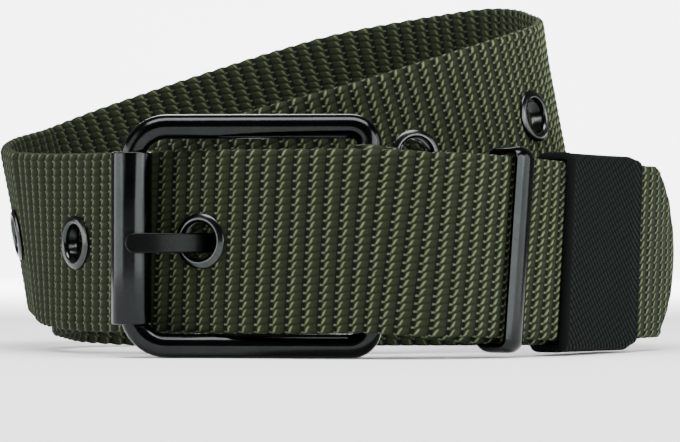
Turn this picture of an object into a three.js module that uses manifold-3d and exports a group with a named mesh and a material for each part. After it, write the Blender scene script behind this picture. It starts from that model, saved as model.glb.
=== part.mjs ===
// A webbing belt with a roller buckle, fastened, wound into two turns and standing on its edge.
// Millimetres, +X to the right, +Y away from the buckle, +Z up, standing on z = 0.
import * as THREE from 'three';
import { mergeVertices } from 'three/addons/utils/BufferGeometryUtils.js';
import Module from 'manifold-3d';

const wasm = await Module();
wasm.setup();

// Driving dimensions
const STRAP_WIDTH = 38;
const STRAP_THICKNESS = 2.2;
const TIP_BULGE = 11;
const FOLD_LENGTH = 24;
const COIL_WIDTH = 150;
const COIL_DEPTH = 130;

const WIRE_DIAMETER = 5.1;
const BUCKLE_PITCH = 49.9;
const BUCKLE_SIDE_PLAY = 1.3;
const BUCKLE_CORNER_RADIUS = 7.5;
const ANCHOR_CORNER_RADIUS = 4;
const BUCKLE_YAW_DEG = 4.5;
const ROLLER_DIAMETER = 8.5;
const ROLLER_WALL = 0.5;
const ROLLER_LAP = 2.6;
const ROLLER_DROP = 0.4;
const PRONG_WIDTH = 4.2;
const PRONG_THICKNESS = 2.2;
const PRONG_DROP = 1.4;

const EYELET_DIAMETER = 11.6;
const EYELET_BORE = 7.6;
const EYELET_FLANGE = 0.75;
const EYELET_PITCH = 37;
const EYELET_COUNT = 16;
const FIRST_EYELET = 142;

const KEEPER_WIDTH = 6;
const KEEPER_WALL = 1.8;
const KEEPER_FROM_TIP = 71.8;
const KEEPER_DROP = 0.9;
const KEEPER_TILT_DEG = 4;
const ELASTIC_WIDTH = 34;
const ELASTIC_WALL = 1.4;
const ELASTIC_FROM_TIP = 39.3;
const ELASTIC_DROP = 0.7;
const ELASTIC_TILT_DEG = 3.5;

// Clearances and steps
const FIT = 0.3;
const PLY_GAP = 0.9;
const SLEEVE_PLAY = 0.5;
const STRAP_STEP = 6;
const WRAP_STEP = 1.5;
const TIP_STEPS = 7;
const WRAP_STEPS = 8;
const WIRE_SIDES = 14;
const ROLLER_SIDES = 24;
const EYE_SIDES = 20;
const EYELET_SIDES = 14;
const SLEEVE_CORNER_STEPS = 3;
const MERGE_DISTANCE = 1e-4;

const HALF_WIDTH = STRAP_WIDTH / 2;
const HALF_PLY = STRAP_THICKNESS / 2;
const PLY_PITCH = STRAP_THICKNESS + PLY_GAP;
const WIRE_RADIUS = WIRE_DIAMETER / 2;
const ROLLER_RADIUS = ROLLER_DIAMETER / 2;
const WRAP_RADIUS = WIRE_RADIUS + 2 * FIT + HALF_PLY;
const SEAT_RISE = WIRE_DIAMETER + FIT;
const UP = new THREE.Vector3(0, 0, 1);

const MATERIALS = {
  webbing: { color: 0x3b4433, roughness: 0.85, metalness: 0 },
  gunmetal: { color: 0x23272a, roughness: 0.3, metalness: 0.9 },
  elastic: { color: 0x15191a, roughness: 0.9, metalness: 0 },
};

const group = new THREE.Group();

function addPiece(name, geometry, finish, parent = group) {
  const mesh = new THREE.Mesh(geometry, new THREE.MeshStandardMaterial(MATERIALS[finish]));
  mesh.name = name;
  parent.add(mesh);
  return mesh;
}

// Buckle plan frame: reach runs from the anchor bar to the roller, front towards the viewer.
// The bar's place across is a share of the coil's half width, as in the tables below.
const ANCHOR_ACROSS = 0.083;
const anchor = {
  x: (ANCHOR_ACROSS * COIL_WIDTH) / 2,
  y: WRAP_RADIUS + STRAP_THICKNESS + HALF_PLY + 2 * FIT,
};
const yaw = THREE.MathUtils.degToRad(BUCKLE_YAW_DEG);
const reachAxis = new THREE.Vector2(-Math.cos(yaw), Math.sin(yaw));
const frontAxis = new THREE.Vector2(-Math.sin(yaw), -Math.cos(yaw));

function atBuckle(reach, front) {
  return {
    x: anchor.x + reach * reachAxis.x + front * frontAxis.x,
    y: anchor.y + reach * reachAxis.y + front * frontAxis.y,
  };
}

// Course of the strap. across and back are shares of the coil's half width and depth, rise is the
// height of the lower edge as a share of the strap's width, lean tips the upper edge outwards.
const tailCourse = [
  { across: 1.013, back: 0.592, rise: 0.082, lean: 0 },
  { across: 0.939, back: 0.492, rise: 0.082, lean: 0 },
  { across: 0.752, back: 0.323, rise: 0.084, lean: 0 },
  { across: 0.592, back: 0.177, rise: 0.092, lean: 0 },
  { across: 0.503, back: 0.123, rise: 0.105, lean: 0 },
  { across: 0.415, back: 0.066, rise: 0.115, lean: 0 },
  { across: 0.329, back: 0.032, rise: 0.122, lean: 0 },
  { across: 0.245, back: 0.016, rise: 0.126, lean: 0 },
];
const threadedCourse = [
  { reach: 0, front: WRAP_RADIUS + HALF_PLY + FIT + HALF_PLY },
  { reach: 0.3 * BUCKLE_PITCH, front: WRAP_RADIUS + STRAP_THICKNESS * 0.6 },
  { reach: 0.52 * BUCKLE_PITCH, front: WRAP_RADIUS * 0.72 },
  { reach: 0.7 * BUCKLE_PITCH, front: -0.3 * STRAP_THICKNESS },
  { reach: 0.84 * BUCKLE_PITCH, front: -ROLLER_RADIUS * 0.85 },
  { reach: BUCKLE_PITCH, front: -(ROLLER_RADIUS + FIT + FIT + HALF_PLY) },
];
const coilCourse = [
  { across: -0.665, back: 0.2, rise: 0.135, lean: 0 },
  { across: -0.8, back: 0.316, rise: 0.14, lean: 2 },
  { across: -0.903, back: 0.43, rise: 0.165, lean: 7 },
  { across: -0.967, back: 0.57, rise: 0.22, lean: 11 },
  { across: -0.955, back: 0.72, rise: 0.295, lean: 10 },
  { across: -0.867, back: 0.85, rise: 0.38, lean: 8 },
  { across: -0.66, back: 0.945, rise: 0.56, lean: 5 },
  { across: -0.36, back: 0.99, rise: 0.763, lean: 2 },
  { across: 0, back: 1, rise: 0.973, lean: 0 },
  { across: 0.26, back: 0.985, rise: 1.063, lean: -3 },
  { across: 0.48, back: 0.91, rise: 1.11, lean: -6 },
  { across: 0.607, back: 0.78, rise: 1.07, lean: -9 },
  { across: 0.645, back: 0.62, rise: 0.985, lean: -11 },
  { across: 0.598, back: 0.49, rise: 0.915, lean: -10 },
  { across: 0.465, back: 0.384, rise: 0.815, lean: -6 },
  { across: 0.3, back: 0.306, rise: 0.703, lean: -3 },
  { across: 0.1, back: 0.254, rise: 0.573, lean: 0 },
  { across: -0.14, back: 0.236, rise: 0.443, lean: 0 },
  { across: -0.38, back: 0.25, rise: 0.3, lean: 0 },
  { across: -0.59, back: 0.308, rise: 0.17, lean: 1 },
  { across: -0.77, back: 0.41, rise: 0.12, lean: 3 },
  { across: -0.858, back: 0.54, rise: 0.09, lean: 3 },
  { across: -0.8, back: 0.67, rise: 0.04, lean: 3 },
  { across: -0.62, back: 0.745, rise: 0.006, lean: 1 },
  { across: -0.3, back: 0.775, rise: 0, lean: 0 },
  { across: 0.05, back: 0.775, rise: 0, lean: 0 },
  { across: 0.4, back: 0.785, rise: 0, lean: 0 },
  { across: 0.68, back: 0.82, rise: 0.006, lean: 0 },
  { across: 0.86, back: 0.815, rise: 0.035, lean: 0 },
  { across: 0.945, back: 0.73, rise: 0.062, lean: 0 },
];
// The under ply runs beside the tail. run is a share of the tail from its tip to the anchor bar,
// plies how many plies it lies behind the tail, and drop how far it hangs below the tail's lower
// edge as a share of the strap's width.
const underCourse = [
  { run: 0.04, plies: 1, drop: 0.008 },
  { run: 0.15, plies: 1, drop: 0.008 },
  { run: 0.26, plies: 1, drop: 0.008 },
  { run: 0.37, plies: 1, drop: 0.008 },
  { run: 0.48, plies: 1, drop: 0.015 },
  { run: 0.58, plies: 1, drop: 0.03 },
  { run: 0.67, plies: 1, drop: 0.035 },
  { run: 0.77, plies: 1, drop: 0.03 },
  { run: 0.88, plies: 1, drop: 0.005 },
];
const foldCourse = [
  { run: 0.93, plies: 3.1, drop: -0.01 },
  { run: 0.87, plies: 2.65, drop: 0 },
  { run: 0.8, plies: 2.2, drop: 0.015 },
  { run: 0.72, plies: 2, drop: 0.03 },
  { run: 0.62, plies: 2, drop: 0.03 },
];

function courseStation({ across, back, rise, lean }) {
  return { x: (across * COIL_WIDTH) / 2, y: back * COIL_DEPTH, rise: rise * STRAP_WIDTH, lean };
}

function seatedStation({ reach, front }) {
  return { ...atBuckle(reach, front), rise: SEAT_RISE, lean: 0 };
}

function wrapStations() {
  const stations = [];
  for (let index = 0; index <= WRAP_STEPS; index += 1) {
    const angle = Math.PI * (index / WRAP_STEPS);
    stations.push(atBuckle(WRAP_RADIUS * Math.sin(angle), WRAP_RADIUS * Math.cos(angle)));
  }
  const rise = WIRE_DIAMETER + BUCKLE_SIDE_PLAY;
  return stations.map((place) => ({ ...place, rise, lean: 0 }));
}

// Centre line at half the strap's width, with the lean carried along it
function makeCourse(stations) {
  const points = stations.map((station, index) => {
    const before = stations[Math.max(index - 1, 0)];
    const after = stations[Math.min(index + 1, stations.length - 1)];
    const run = Math.hypot(after.x - before.x, after.y - before.y);
    const climb = Math.atan2(after.rise - before.rise, run);
    const tip = THREE.MathUtils.degToRad(station.lean);
    const height = station.rise + HALF_WIDTH * Math.cos(climb) * Math.cos(tip);
    return new THREE.Vector3(station.x, station.y, height);
  });
  const curve = new THREE.CatmullRomCurve3(points, false, 'centripetal');
  const spans = points.length - 1;
  const divisions = 40;
  curve.arcLengthDivisions = spans * divisions;
  const lengths = curve.getLengths();
  const stops = stations.map((station, index) => lengths[index * divisions]);
  const leans = stations.map((station) => THREE.MathUtils.degToRad(station.lean));
  return { curve, leans, spans, stops, whole: stops[spans] };
}

// Position and axes of a course at a distance from its start: along, up its width, and outwards.
// Before its start the course runs straight.
function frameOn(course, distance) {
  const share = course.curve.getUtoTmapping(Math.max(distance, 0) / course.whole);
  const along = course.curve.getTangent(share).normalize();
  const centre = course.curve.getPoint(share).addScaledVector(along, Math.min(distance, 0));
  const place = share * course.spans;
  const index = Math.min(Math.floor(place), course.spans - 1);
  const lean = THREE.MathUtils.lerp(course.leans[index], course.leans[index + 1], place - index);
  const width = UP.clone().addScaledVector(along, -along.z).normalize();
  const outward = new THREE.Vector3().crossVectors(width, along);
  width.multiplyScalar(Math.cos(lean)).addScaledVector(outward, Math.sin(lean));
  outward.crossVectors(width, along).normalize();
  return { centre, along, width, outward };
}

const tail = tailCourse.map(courseStation);
const threaded = threadedCourse.map(seatedStation);
const tailOnly = makeCourse([...tail, ...threaded]);
const tailRun = tailOnly.stops[tail.length];

function stationsBesideTail(table) {
  return table.map(({ run, plies, drop }) => {
    const { centre, outward } = frameOn(tailOnly, run * tailRun);
    const place = centre.addScaledVector(outward, -plies * PLY_PITCH);
    return { x: place.x, y: place.y, rise: place.z - HALF_WIDTH - drop * STRAP_WIDTH, lean: 0 };
  });
}

const untilWrap = [
  ...tail,
  ...threaded,
  ...coilCourse.map(courseStation),
  ...stationsBesideTail(underCourse),
];
const wrap = wrapStations();
const strapCourse = makeCourse([...untilWrap, ...wrap, ...stationsBesideTail(foldCourse)]);

// The prong's bend as shares of the bar pitch, with its height off the frame's plane
const prongCourse = [
  { reach: 0.065, front: 0 },
  { reach: 0.27, front: -0.25 * WIRE_DIAMETER },
  { reach: 0.5, front: -0.5 * WIRE_DIAMETER },
  { reach: 0.61, front: -0.62 * WIRE_DIAMETER },
  { reach: 0.695, front: -0.16 * WIRE_DIAMETER },
  { reach: 0.79, front: 0.62 * WIRE_DIAMETER },
  { reach: 0.88, front: ROLLER_RADIUS + FIT + 0.3 * PRONG_THICKNESS },
  { reach: 0.955, front: ROLLER_RADIUS + FIT + 0.54 * PRONG_THICKNESS },
  { reach: 1.01, front: ROLLER_RADIUS + FIT + 0.56 * PRONG_THICKNESS },
];
const prongLine = new THREE.CatmullRomCurve3(
  prongCourse.map(({ reach, front }) => new THREE.Vector3(reach * BUCKLE_PITCH, -front, 0)),
  false,
  'centripetal'
);

// Distance on the course at which the prong comes through the strap
function prongCrossing() {
  const samples = 400;
  const bend = prongLine.getPoints(samples).map((point) => atBuckle(point.x, -point.y));
  const from = strapCourse.stops[tail.length];
  const to = strapCourse.stops[tail.length + threaded.length - 1];
  let nearest = { gap: Infinity, distance: from };
  for (let sample = 0; sample <= samples; sample += 1) {
    const distance = from + ((to - from) * sample) / samples;
    const { centre } = frameOn(strapCourse, distance);
    const gap = Math.min(...bend.map(({ x, y }) => Math.hypot(x - centre.x, y - centre.y)));
    nearest = gap < nearest.gap ? { gap, distance } : nearest;
  }
  return nearest.distance;
}

// The first eyelet is over the prong, and the tip lies as far before it as it is cut
const TIP_AT = prongCrossing() - FIRST_EYELET;
const WRAP_FROM = strapCourse.stops[untilWrap.length] - TIP_AT;
const WRAP_TO = strapCourse.stops[untilWrap.length + wrap.length - 1] - TIP_AT;
const STRAP_LENGTH = Math.min(strapCourse.whole - TIP_AT, WRAP_TO + FOLD_LENGTH);

// Frame of the strap at a distance from its tip
function frameAt(distance) {
  return frameOn(strapCourse, TIP_AT + distance);
}

// A closed body through sections of equal point count, with both ends closed or joined in a ring
function sweep(sections, ring = false) {
  const sides = sections[0].length;
  const position = [];
  const index = [];
  sections.forEach((section) => section.forEach((point) => position.push(point.x, point.y, point.z)));
  const spans = ring ? sections.length : sections.length - 1;
  for (let span = 0; span < spans; span += 1) {
    const near = span * sides;
    const far = ((span + 1) % sections.length) * sides;
    for (let side = 0; side < sides; side += 1) {
      const next = (side + 1) % sides;
      index.push(near + side, near + next, far + next, near + side, far + next, far + side);
    }
  }
  if (!ring) {
    const last = (sections.length - 1) * sides;
    for (let side = 1; side < sides - 1; side += 1) {
      index.push(0, side + 1, side, last, last + side, last + side + 1);
    }
  }
  const geometry = new THREE.BufferGeometry();
  geometry.setAttribute('position', new THREE.Float32BufferAttribute(position, 3));
  geometry.setIndex(index);
  return facingOut(geometry);
}

function enclosedVolume(geometry) {
  const position = geometry.getAttribute('position');
  const corners = [new THREE.Vector3(), new THREE.Vector3(), new THREE.Vector3()];
  let volume = 0;
  for (let face = 0; face < geometry.index.count; face += 3) {
    corners.forEach((corner, side) => corner.fromBufferAttribute(position, geometry.index.getX(face + side)));
    volume += corners[0].dot(corners[1].clone().cross(corners[2])) / 6;
  }
  return volume;
}

function facingOut(geometry) {
  if (enclosedVolume(geometry) < 0) {
    const order = geometry.index.array;
    for (let face = 0; face < order.length; face += 3) {
      [order[face + 1], order[face + 2]] = [order[face + 2], order[face + 1]];
    }
  }
  geometry.computeVertexNormals();
  return geometry;
}

function toSolid(geometry) {
  const bare = geometry.clone();
  bare.deleteAttribute('normal');
  bare.deleteAttribute('uv');
  const merged = mergeVertices(bare, MERGE_DISTANCE);
  return new wasm.Manifold(
    new wasm.Mesh({
      numProp: 3,
      vertProperties: new Float32Array(merged.getAttribute('position').array),
      triVerts: new Uint32Array(merged.index.array),
    })
  );
}

function toGeometry(solid) {
  const mesh = solid.getMesh();
  const geometry = new THREE.BufferGeometry();
  geometry.setAttribute('position', new THREE.BufferAttribute(mesh.vertProperties, 3));
  geometry.setIndex(new THREE.BufferAttribute(mesh.triVerts, 1));
  geometry.computeVertexNormals();
  return geometry;
}

// Sets a geometry's x, y and z axes on the given ones, with its origin at the centre
function placeOn(geometry, { centre, along, width, outward }) {
  const matrix = new THREE.Matrix4().makeBasis(along, outward, width);
  return geometry.applyMatrix4(matrix.setPosition(centre));
}

// Eyelets sit on short straight stretches, so their flanges lie flat
const eyeletFlat = EYELET_DIAMETER / 2 + 2 * FIT;
const eyeletPlaces = Array.from(
  { length: EYELET_COUNT },
  (unused, index) => FIRST_EYELET + index * EYELET_PITCH
);

function tipSections() {
  const sections = [];
  const radius = (HALF_WIDTH ** 2 + TIP_BULGE ** 2) / (2 * TIP_BULGE);
  for (let step = 1; step <= TIP_STEPS; step += 1) {
    const distance = TIP_BULGE * (step / TIP_STEPS) ** 2;
    sections.push({ distance, half: Math.sqrt(2 * radius * distance - distance ** 2) });
  }
  return sections;
}

// Frames along the strap past its tip; those at both ends of an eyelet's flat share its axes
function stationFrames() {
  const stops = [{ at: TIP_BULGE }];
  eyeletPlaces.forEach((at) => {
    const { width, outward } = eyeletFrame(at);
    stops.push({ at: at - eyeletFlat, width, outward }, { at: at + eyeletFlat, width, outward });
  });
  [WRAP_FROM, WRAP_TO, STRAP_LENGTH].forEach((at) => stops.push({ at }));
  const frames = [];
  for (let stop = 1; stop < stops.length; stop += 1) {
    const from = stops[stop - 1];
    const to = stops[stop];
    const overEyelet = Boolean(from.width) && from.width === to.width;
    const step = from.at === WRAP_FROM ? WRAP_STEP : STRAP_STEP;
    const pieces = overEyelet ? 1 : Math.max(1, Math.ceil((to.at - from.at) / step));
    for (let piece = 1; piece < pieces; piece += 1) {
      frames.push(frameAt(from.at + ((to.at - from.at) * piece) / pieces));
    }
    const { width, outward } = to;
    frames.push(width ? { ...frameAt(to.at), width, outward } : frameAt(to.at));
  }
  return frames;
}

function strapSection({ centre, width, outward }, half) {
  const corner = (side, face) =>
    centre
      .clone()
      .addScaledVector(width, side * half)
      .addScaledVector(outward, face * HALF_PLY);
  return [corner(-1, 1), corner(1, 1), corner(1, -1), corner(-1, -1)];
}

function eyeletFrame(at) {
  const near = frameAt(at - eyeletFlat);
  const far = frameAt(at + eyeletFlat);
  const centre = near.centre.clone().add(far.centre).multiplyScalar(0.5);
  const along = far.centre.clone().sub(near.centre).normalize();
  const width = near.width.clone().add(far.width);
  width.addScaledVector(along, -along.dot(width)).normalize();
  const outward = new THREE.Vector3().crossVectors(width, along).normalize();
  return { centre, along, width, outward };
}

function strapGeometry() {
  const sections = tipSections().map(({ distance, half }) => strapSection(frameAt(distance), half));
  stationFrames().forEach((frame) => sections.push(strapSection(frame, HALF_WIDTH)));
  let solid = toSolid(sweep(sections));
  const holeRadius = EYELET_BORE / 2 + EYELET_FLANGE / 2 + FIT;
  eyeletPlaces.forEach((at) => {
    const drill = new THREE.CylinderGeometry(holeRadius, holeRadius, 3 * STRAP_THICKNESS, EYELET_SIDES);
    solid = solid.subtract(toSolid(placeOn(drill, eyeletFrame(at))));
  });
  return toGeometry(solid.subtract(toSolid(prongSlot())));
}

// Opening in the wrapped end that lets the prong's eye reach the anchor bar
function prongSlot() {
  const reach = WRAP_RADIUS + HALF_PLY;
  const back = reach + HALF_PLY;
  const depth = reach + FIT / 2 + back;
  const slot = new THREE.BoxGeometry(2 * back, depth, PRONG_WIDTH + 4 * FIT);
  slot.translate(0, (back - reach - FIT / 2) / 2, -PRONG_DROP);
  return placeInBuckle(slot);
}

const buckleHeight = STRAP_WIDTH + 2 * BUCKLE_SIDE_PLAY + WIRE_DIAMETER;
const buckleMiddle = buckleHeight / 2 + WIRE_RADIUS;

// Local x runs to the roller, y away from the viewer and z up, from the anchor bar's middle
function placeInBuckle(geometry) {
  const along = new THREE.Vector3(reachAxis.x, reachAxis.y, 0);
  const outward = new THREE.Vector3(frontAxis.x, frontAxis.y, 0);
  const centre = new THREE.Vector3(anchor.x, anchor.y, buckleMiddle);
  const matrix = new THREE.Matrix4().makeBasis(along, outward.negate(), UP);
  return facingOut(mergeCorners(geometry).applyMatrix4(matrix.setPosition(centre)));
}

// The same shape with shared corners merged, so that its faces can be turned right side out
function mergeCorners(geometry) {
  const bare = geometry.clone();
  bare.deleteAttribute('normal');
  bare.deleteAttribute('uv');
  return mergeVertices(bare, MERGE_DISTANCE);
}

// Centre line of the frame in the x and z plane, with its own corner radius at either end
function frameLoop(halfHeight, steps) {
  const near = ANCHOR_CORNER_RADIUS;
  const far = BUCKLE_CORNER_RADIUS;
  const loop = [];
  const corners = [
    { x: BUCKLE_PITCH - far, z: halfHeight - far, start: 0, radius: far },
    { x: near, z: halfHeight - near, start: 90, radius: near },
    { x: near, z: near - halfHeight, start: 180, radius: near },
    { x: BUCKLE_PITCH - far, z: far - halfHeight, start: 270, radius: far },
  ];
  corners.forEach(({ x, z, start, radius }) => {
    for (let step = 0; step <= steps; step += 1) {
      const angle = THREE.MathUtils.degToRad(start + (90 * step) / steps);
      const normal = new THREE.Vector3(Math.cos(angle), 0, Math.sin(angle));
      const centre = new THREE.Vector3(x, 0, z).addScaledVector(normal, radius);
      loop.push({ centre, normal });
    }
  });
  return loop;
}

// A closed ring about the loop, its section given as pairs of depth and height off its line
function ringGeometry(loop, profile) {
  const sections = loop.map(({ centre, normal }) =>
    profile.map(({ off, across }) =>
      centre.clone().addScaledVector(normal, off).add(new THREE.Vector3(0, across, 0))
    )
  );
  return sweep(sections, true);
}

function roundProfile(radius, sides) {
  return Array.from({ length: sides }, (unused, side) => {
    const angle = (2 * Math.PI * (side + 0.5)) / sides;
    return { off: radius * Math.cos(angle), across: radius * Math.sin(angle) };
  });
}

function frameGeometry() {
  const radius = WIRE_RADIUS / Math.cos(Math.PI / WIRE_SIDES);
  const profile = roundProfile(radius, WIRE_SIDES);
  return placeInBuckle(ringGeometry(frameLoop(buckleHeight / 2, 5), profile));
}

// The roller is a thin tube with play on the bar, so it laps over the start of both corners
const rollerLength = buckleHeight - 2 * BUCKLE_CORNER_RADIUS + 2 * ROLLER_LAP;

function rollerGeometry() {
  const bore = ROLLER_RADIUS - ROLLER_WALL;
  const half = rollerLength / 2;
  const bevel = ROLLER_WALL / 2;
  const profile = [
    [bore, -half],
    [ROLLER_RADIUS - bevel, -half],
    [ROLLER_RADIUS, bevel - half],
    [ROLLER_RADIUS, half - bevel],
    [ROLLER_RADIUS - bevel, half],
    [bore, half],
    [bore, -half],
  ].map(([radius, height]) => new THREE.Vector2(radius, height));
  const roller = new THREE.LatheGeometry(profile, ROLLER_SIDES);
  return roller.rotateX(Math.PI / 2);
}

function prongShank() {
  const steps = 22;
  const sections = [];
  for (let step = 0; step <= steps; step += 1) {
    const centre = prongLine.getPointAt(step / steps);
    const along = prongLine.getTangentAt(step / steps);
    const side = new THREE.Vector3(-along.y, along.x, 0);
    const left = (prongLine.getLength() * (steps - step)) / steps;
    const nose = Math.min(1, 0.45 + left / PRONG_WIDTH);
    const wide = (PRONG_WIDTH / 2) * nose;
    const thick = (PRONG_THICKNESS / 2) * Math.min(1, 0.6 + left / PRONG_WIDTH);
    const corner = (across, up) =>
      centre.clone().addScaledVector(side, across * thick).addScaledVector(UP, up * wide);
    const edge = 0.6;
    sections.push([
      corner(-1, edge), corner(-edge, 1), corner(edge, 1), corner(1, edge),
      corner(1, -edge), corner(edge, -1), corner(-edge, -1), corner(-1, -edge),
    ]);
  }
  return sweep(sections);
}

function prongGeometry() {
  const inner = WIRE_RADIUS + FIT;
  const outer = WRAP_RADIUS + HALF_PLY - FIT;
  const half = PRONG_WIDTH / 2;
  const wall = [[inner, -half], [outer, -half], [outer, half], [inner, half], [inner, -half]];
  const eye = new THREE.LatheGeometry(wall.map(([x, y]) => new THREE.Vector2(x, y)), EYE_SIDES);
  const bore = new THREE.CylinderGeometry(inner, inner, 2 * PRONG_WIDTH, EYE_SIDES);
  const shank = toSolid(prongShank()).subtract(toSolid(bore.rotateX(Math.PI / 2)));
  const prong = toGeometry(toSolid(eye.rotateX(Math.PI / 2)).add(shank));
  return placeInBuckle(prong.translate(0, 0, -PRONG_DROP));
}

function eyeletGeometry() {
  const bore = EYELET_BORE / 2;
  const outer = EYELET_DIAMETER / 2;
  const barrel = bore + EYELET_FLANGE / 2;
  const seat = HALF_PLY + FIT;
  const crown = seat + EYELET_FLANGE;
  const half = [
    [bore, 0],
    [bore + 0.2 * EYELET_FLANGE, seat + 0.5 * EYELET_FLANGE],
    [bore + 0.4 * (outer - bore), crown],
    [outer, seat + 0.45 * EYELET_FLANGE],
    [outer, seat],
    [barrel, seat],
  ];
  const mirrored = half.slice(1).map(([radius, height]) => [radius, -height]).reverse();
  const profile = [...half, ...mirrored, half[0]];
  const corners = profile.map(([x, y]) => new THREE.Vector2(x, y));
  return facingOut(mergeCorners(new THREE.LatheGeometry(corners, EYELET_SIDES)));
}

// Room inside a sleeve that holds the tail and the ply under it, about the tail's frame
function sleeveRoom(drop) {
  const outer = HALF_PLY + SLEEVE_PLAY;
  const inner = -(PLY_PITCH + HALF_PLY + SLEEVE_PLAY);
  return { outer, inner, top: HALF_WIDTH + SLEEVE_PLAY, bottom: -HALF_WIDTH - SLEEVE_PLAY - drop };
}

function roundedSection(room, grow, radius) {
  const steps = SLEEVE_CORNER_STEPS;
  const section = [];
  const corners = [
    { across: room.outer + grow, up: room.top + grow, start: 0 },
    { across: room.inner - grow, up: room.top + grow, start: 90 },
    { across: room.inner - grow, up: room.bottom - grow, start: 180 },
    { across: room.outer + grow, up: room.bottom - grow, start: 270 },
  ];
  corners.forEach(({ across, up, start }) => {
    const turn = THREE.MathUtils.degToRad(start + 45);
    const inAcross = across - Math.sign(Math.cos(turn)) * radius;
    const inUp = up - Math.sign(Math.sin(turn)) * radius;
    for (let step = 0; step <= steps; step += 1) {
      const angle = THREE.MathUtils.degToRad(start + (90 * step) / steps);
      section.push({
        across: inAcross + radius * Math.cos(angle),
        up: inUp + radius * Math.sin(angle),
      });
    }
  });
  return section;
}

// A section's points on the strap, where slope tips the section's upper side towards the tip
function sectionAt(distance, section, slope) {
  return section.map(({ across, up }) => {
    const { centre, outward, width } = frameAt(distance - up * slope);
    return centre.clone().addScaledVector(outward, across).addScaledVector(width, up);
  });
}

// A sleeve about the two plies: outside and inside skins swept together, joined at both ends.
// crown is how much thinner the wall is at the sleeve's two rims than half way along it.
function sleeveGeometry({ middle, width, steps, wall, crown, drop, tiltDeg }) {
  const room = sleeveRoom(drop);
  const corner = 2 * FIT;
  const slope = Math.tan(THREE.MathUtils.degToRad(tiltDeg));
  const outside = [];
  const inside = [];
  for (let step = 0; step <= steps; step += 1) {
    const side = (2 * step) / steps - 1;
    const distance = middle + (side * width) / 2;
    const grow = wall - crown * side ** 2;
    outside.push(sectionAt(distance, roundedSection(room, grow, corner + grow), slope));
    inside.unshift(sectionAt(distance, roundedSection(room, 0, corner), slope));
  }
  return sweep([...outside, ...inside], true);
}

// Pieces
addPiece('webbing_strap', strapGeometry(), 'webbing');
addPiece('buckle_frame', frameGeometry(), 'gunmetal');
addPiece('buckle_prong', prongGeometry(), 'gunmetal');

const rollerPlace = atBuckle(BUCKLE_PITCH, 0);
const roller = addPiece('buckle_roller', rollerGeometry(), 'gunmetal');
roller.position.set(rollerPlace.x, rollerPlace.y, buckleMiddle - ROLLER_DROP);

eyeletPlaces.forEach((at, index) => {
  const name = `eyelet_${String(index + 1).padStart(2, '0')}`;
  const frame = eyeletFrame(at);
  const eyelet = addPiece(name, eyeletGeometry(), 'gunmetal');
  eyelet.quaternion.setFromUnitVectors(new THREE.Vector3(0, 1, 0), frame.outward);
  eyelet.position.copy(frame.centre);
});

addPiece(
  'metal_keeper',
  sleeveGeometry({
    middle: KEEPER_FROM_TIP,
    width: KEEPER_WIDTH,
    steps: 4,
    wall: KEEPER_WALL,
    crown: KEEPER_WALL / 2,
    drop: KEEPER_DROP,
    tiltDeg: KEEPER_TILT_DEG,
  }),
  'gunmetal'
);
addPiece(
  'elastic_keeper',
  sleeveGeometry({
    middle: ELASTIC_FROM_TIP,
    width: ELASTIC_WIDTH,
    steps: 8,
    wall: ELASTIC_WALL,
    crown: 0,
    drop: ELASTIC_DROP,
    tiltDeg: ELASTIC_TILT_DEG,
  }),
  'elastic'
);

// The origin is on the floor, at the middle of the belt's plan
const box = new THREE.Box3().setFromObject(group);
const middle = box.getCenter(new THREE.Vector3());
group.position.set(-middle.x, -middle.y, -box.min.z);

export default group;
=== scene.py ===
"""Studio scene of a webbing belt with a roller buckle, wound into two turns on its edge."""

import logging
import math
from dataclasses import dataclass, field
from enum import Enum

import bpy
import numpy as np
from mathutils import Matrix, Vector


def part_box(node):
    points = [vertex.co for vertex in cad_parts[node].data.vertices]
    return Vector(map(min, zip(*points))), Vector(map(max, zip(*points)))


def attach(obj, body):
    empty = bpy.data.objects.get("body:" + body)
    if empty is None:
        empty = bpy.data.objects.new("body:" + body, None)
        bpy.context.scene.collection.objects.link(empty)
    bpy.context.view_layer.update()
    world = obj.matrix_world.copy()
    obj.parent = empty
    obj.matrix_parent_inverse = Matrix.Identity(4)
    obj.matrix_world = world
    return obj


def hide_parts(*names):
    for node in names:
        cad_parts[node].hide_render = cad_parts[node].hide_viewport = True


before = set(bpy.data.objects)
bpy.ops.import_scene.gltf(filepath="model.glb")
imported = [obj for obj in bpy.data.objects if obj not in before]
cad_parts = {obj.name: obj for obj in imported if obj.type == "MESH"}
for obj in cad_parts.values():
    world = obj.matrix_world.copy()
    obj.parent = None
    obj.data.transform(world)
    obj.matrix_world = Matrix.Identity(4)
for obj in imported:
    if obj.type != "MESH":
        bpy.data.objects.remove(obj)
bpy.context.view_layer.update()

LOG = logging.getLogger("belt")
MM = 0.001
WEAVE_UV = "weave"
IMAGE_WIDTH = 680

Point = tuple[float, float, float]
Colour = tuple[float, float, float, float]


# Sizes


class Slot(Enum):
    """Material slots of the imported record."""

    WEBBING = "webbing"
    GUNMETAL = "gunmetal"
    EYELET = "eyelet_metal"
    ELASTIC = "elastic"


class Body(Enum):
    """Bodies that pieces ride on."""

    BELT = "belt"
    ROLLER = "roller"


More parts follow.
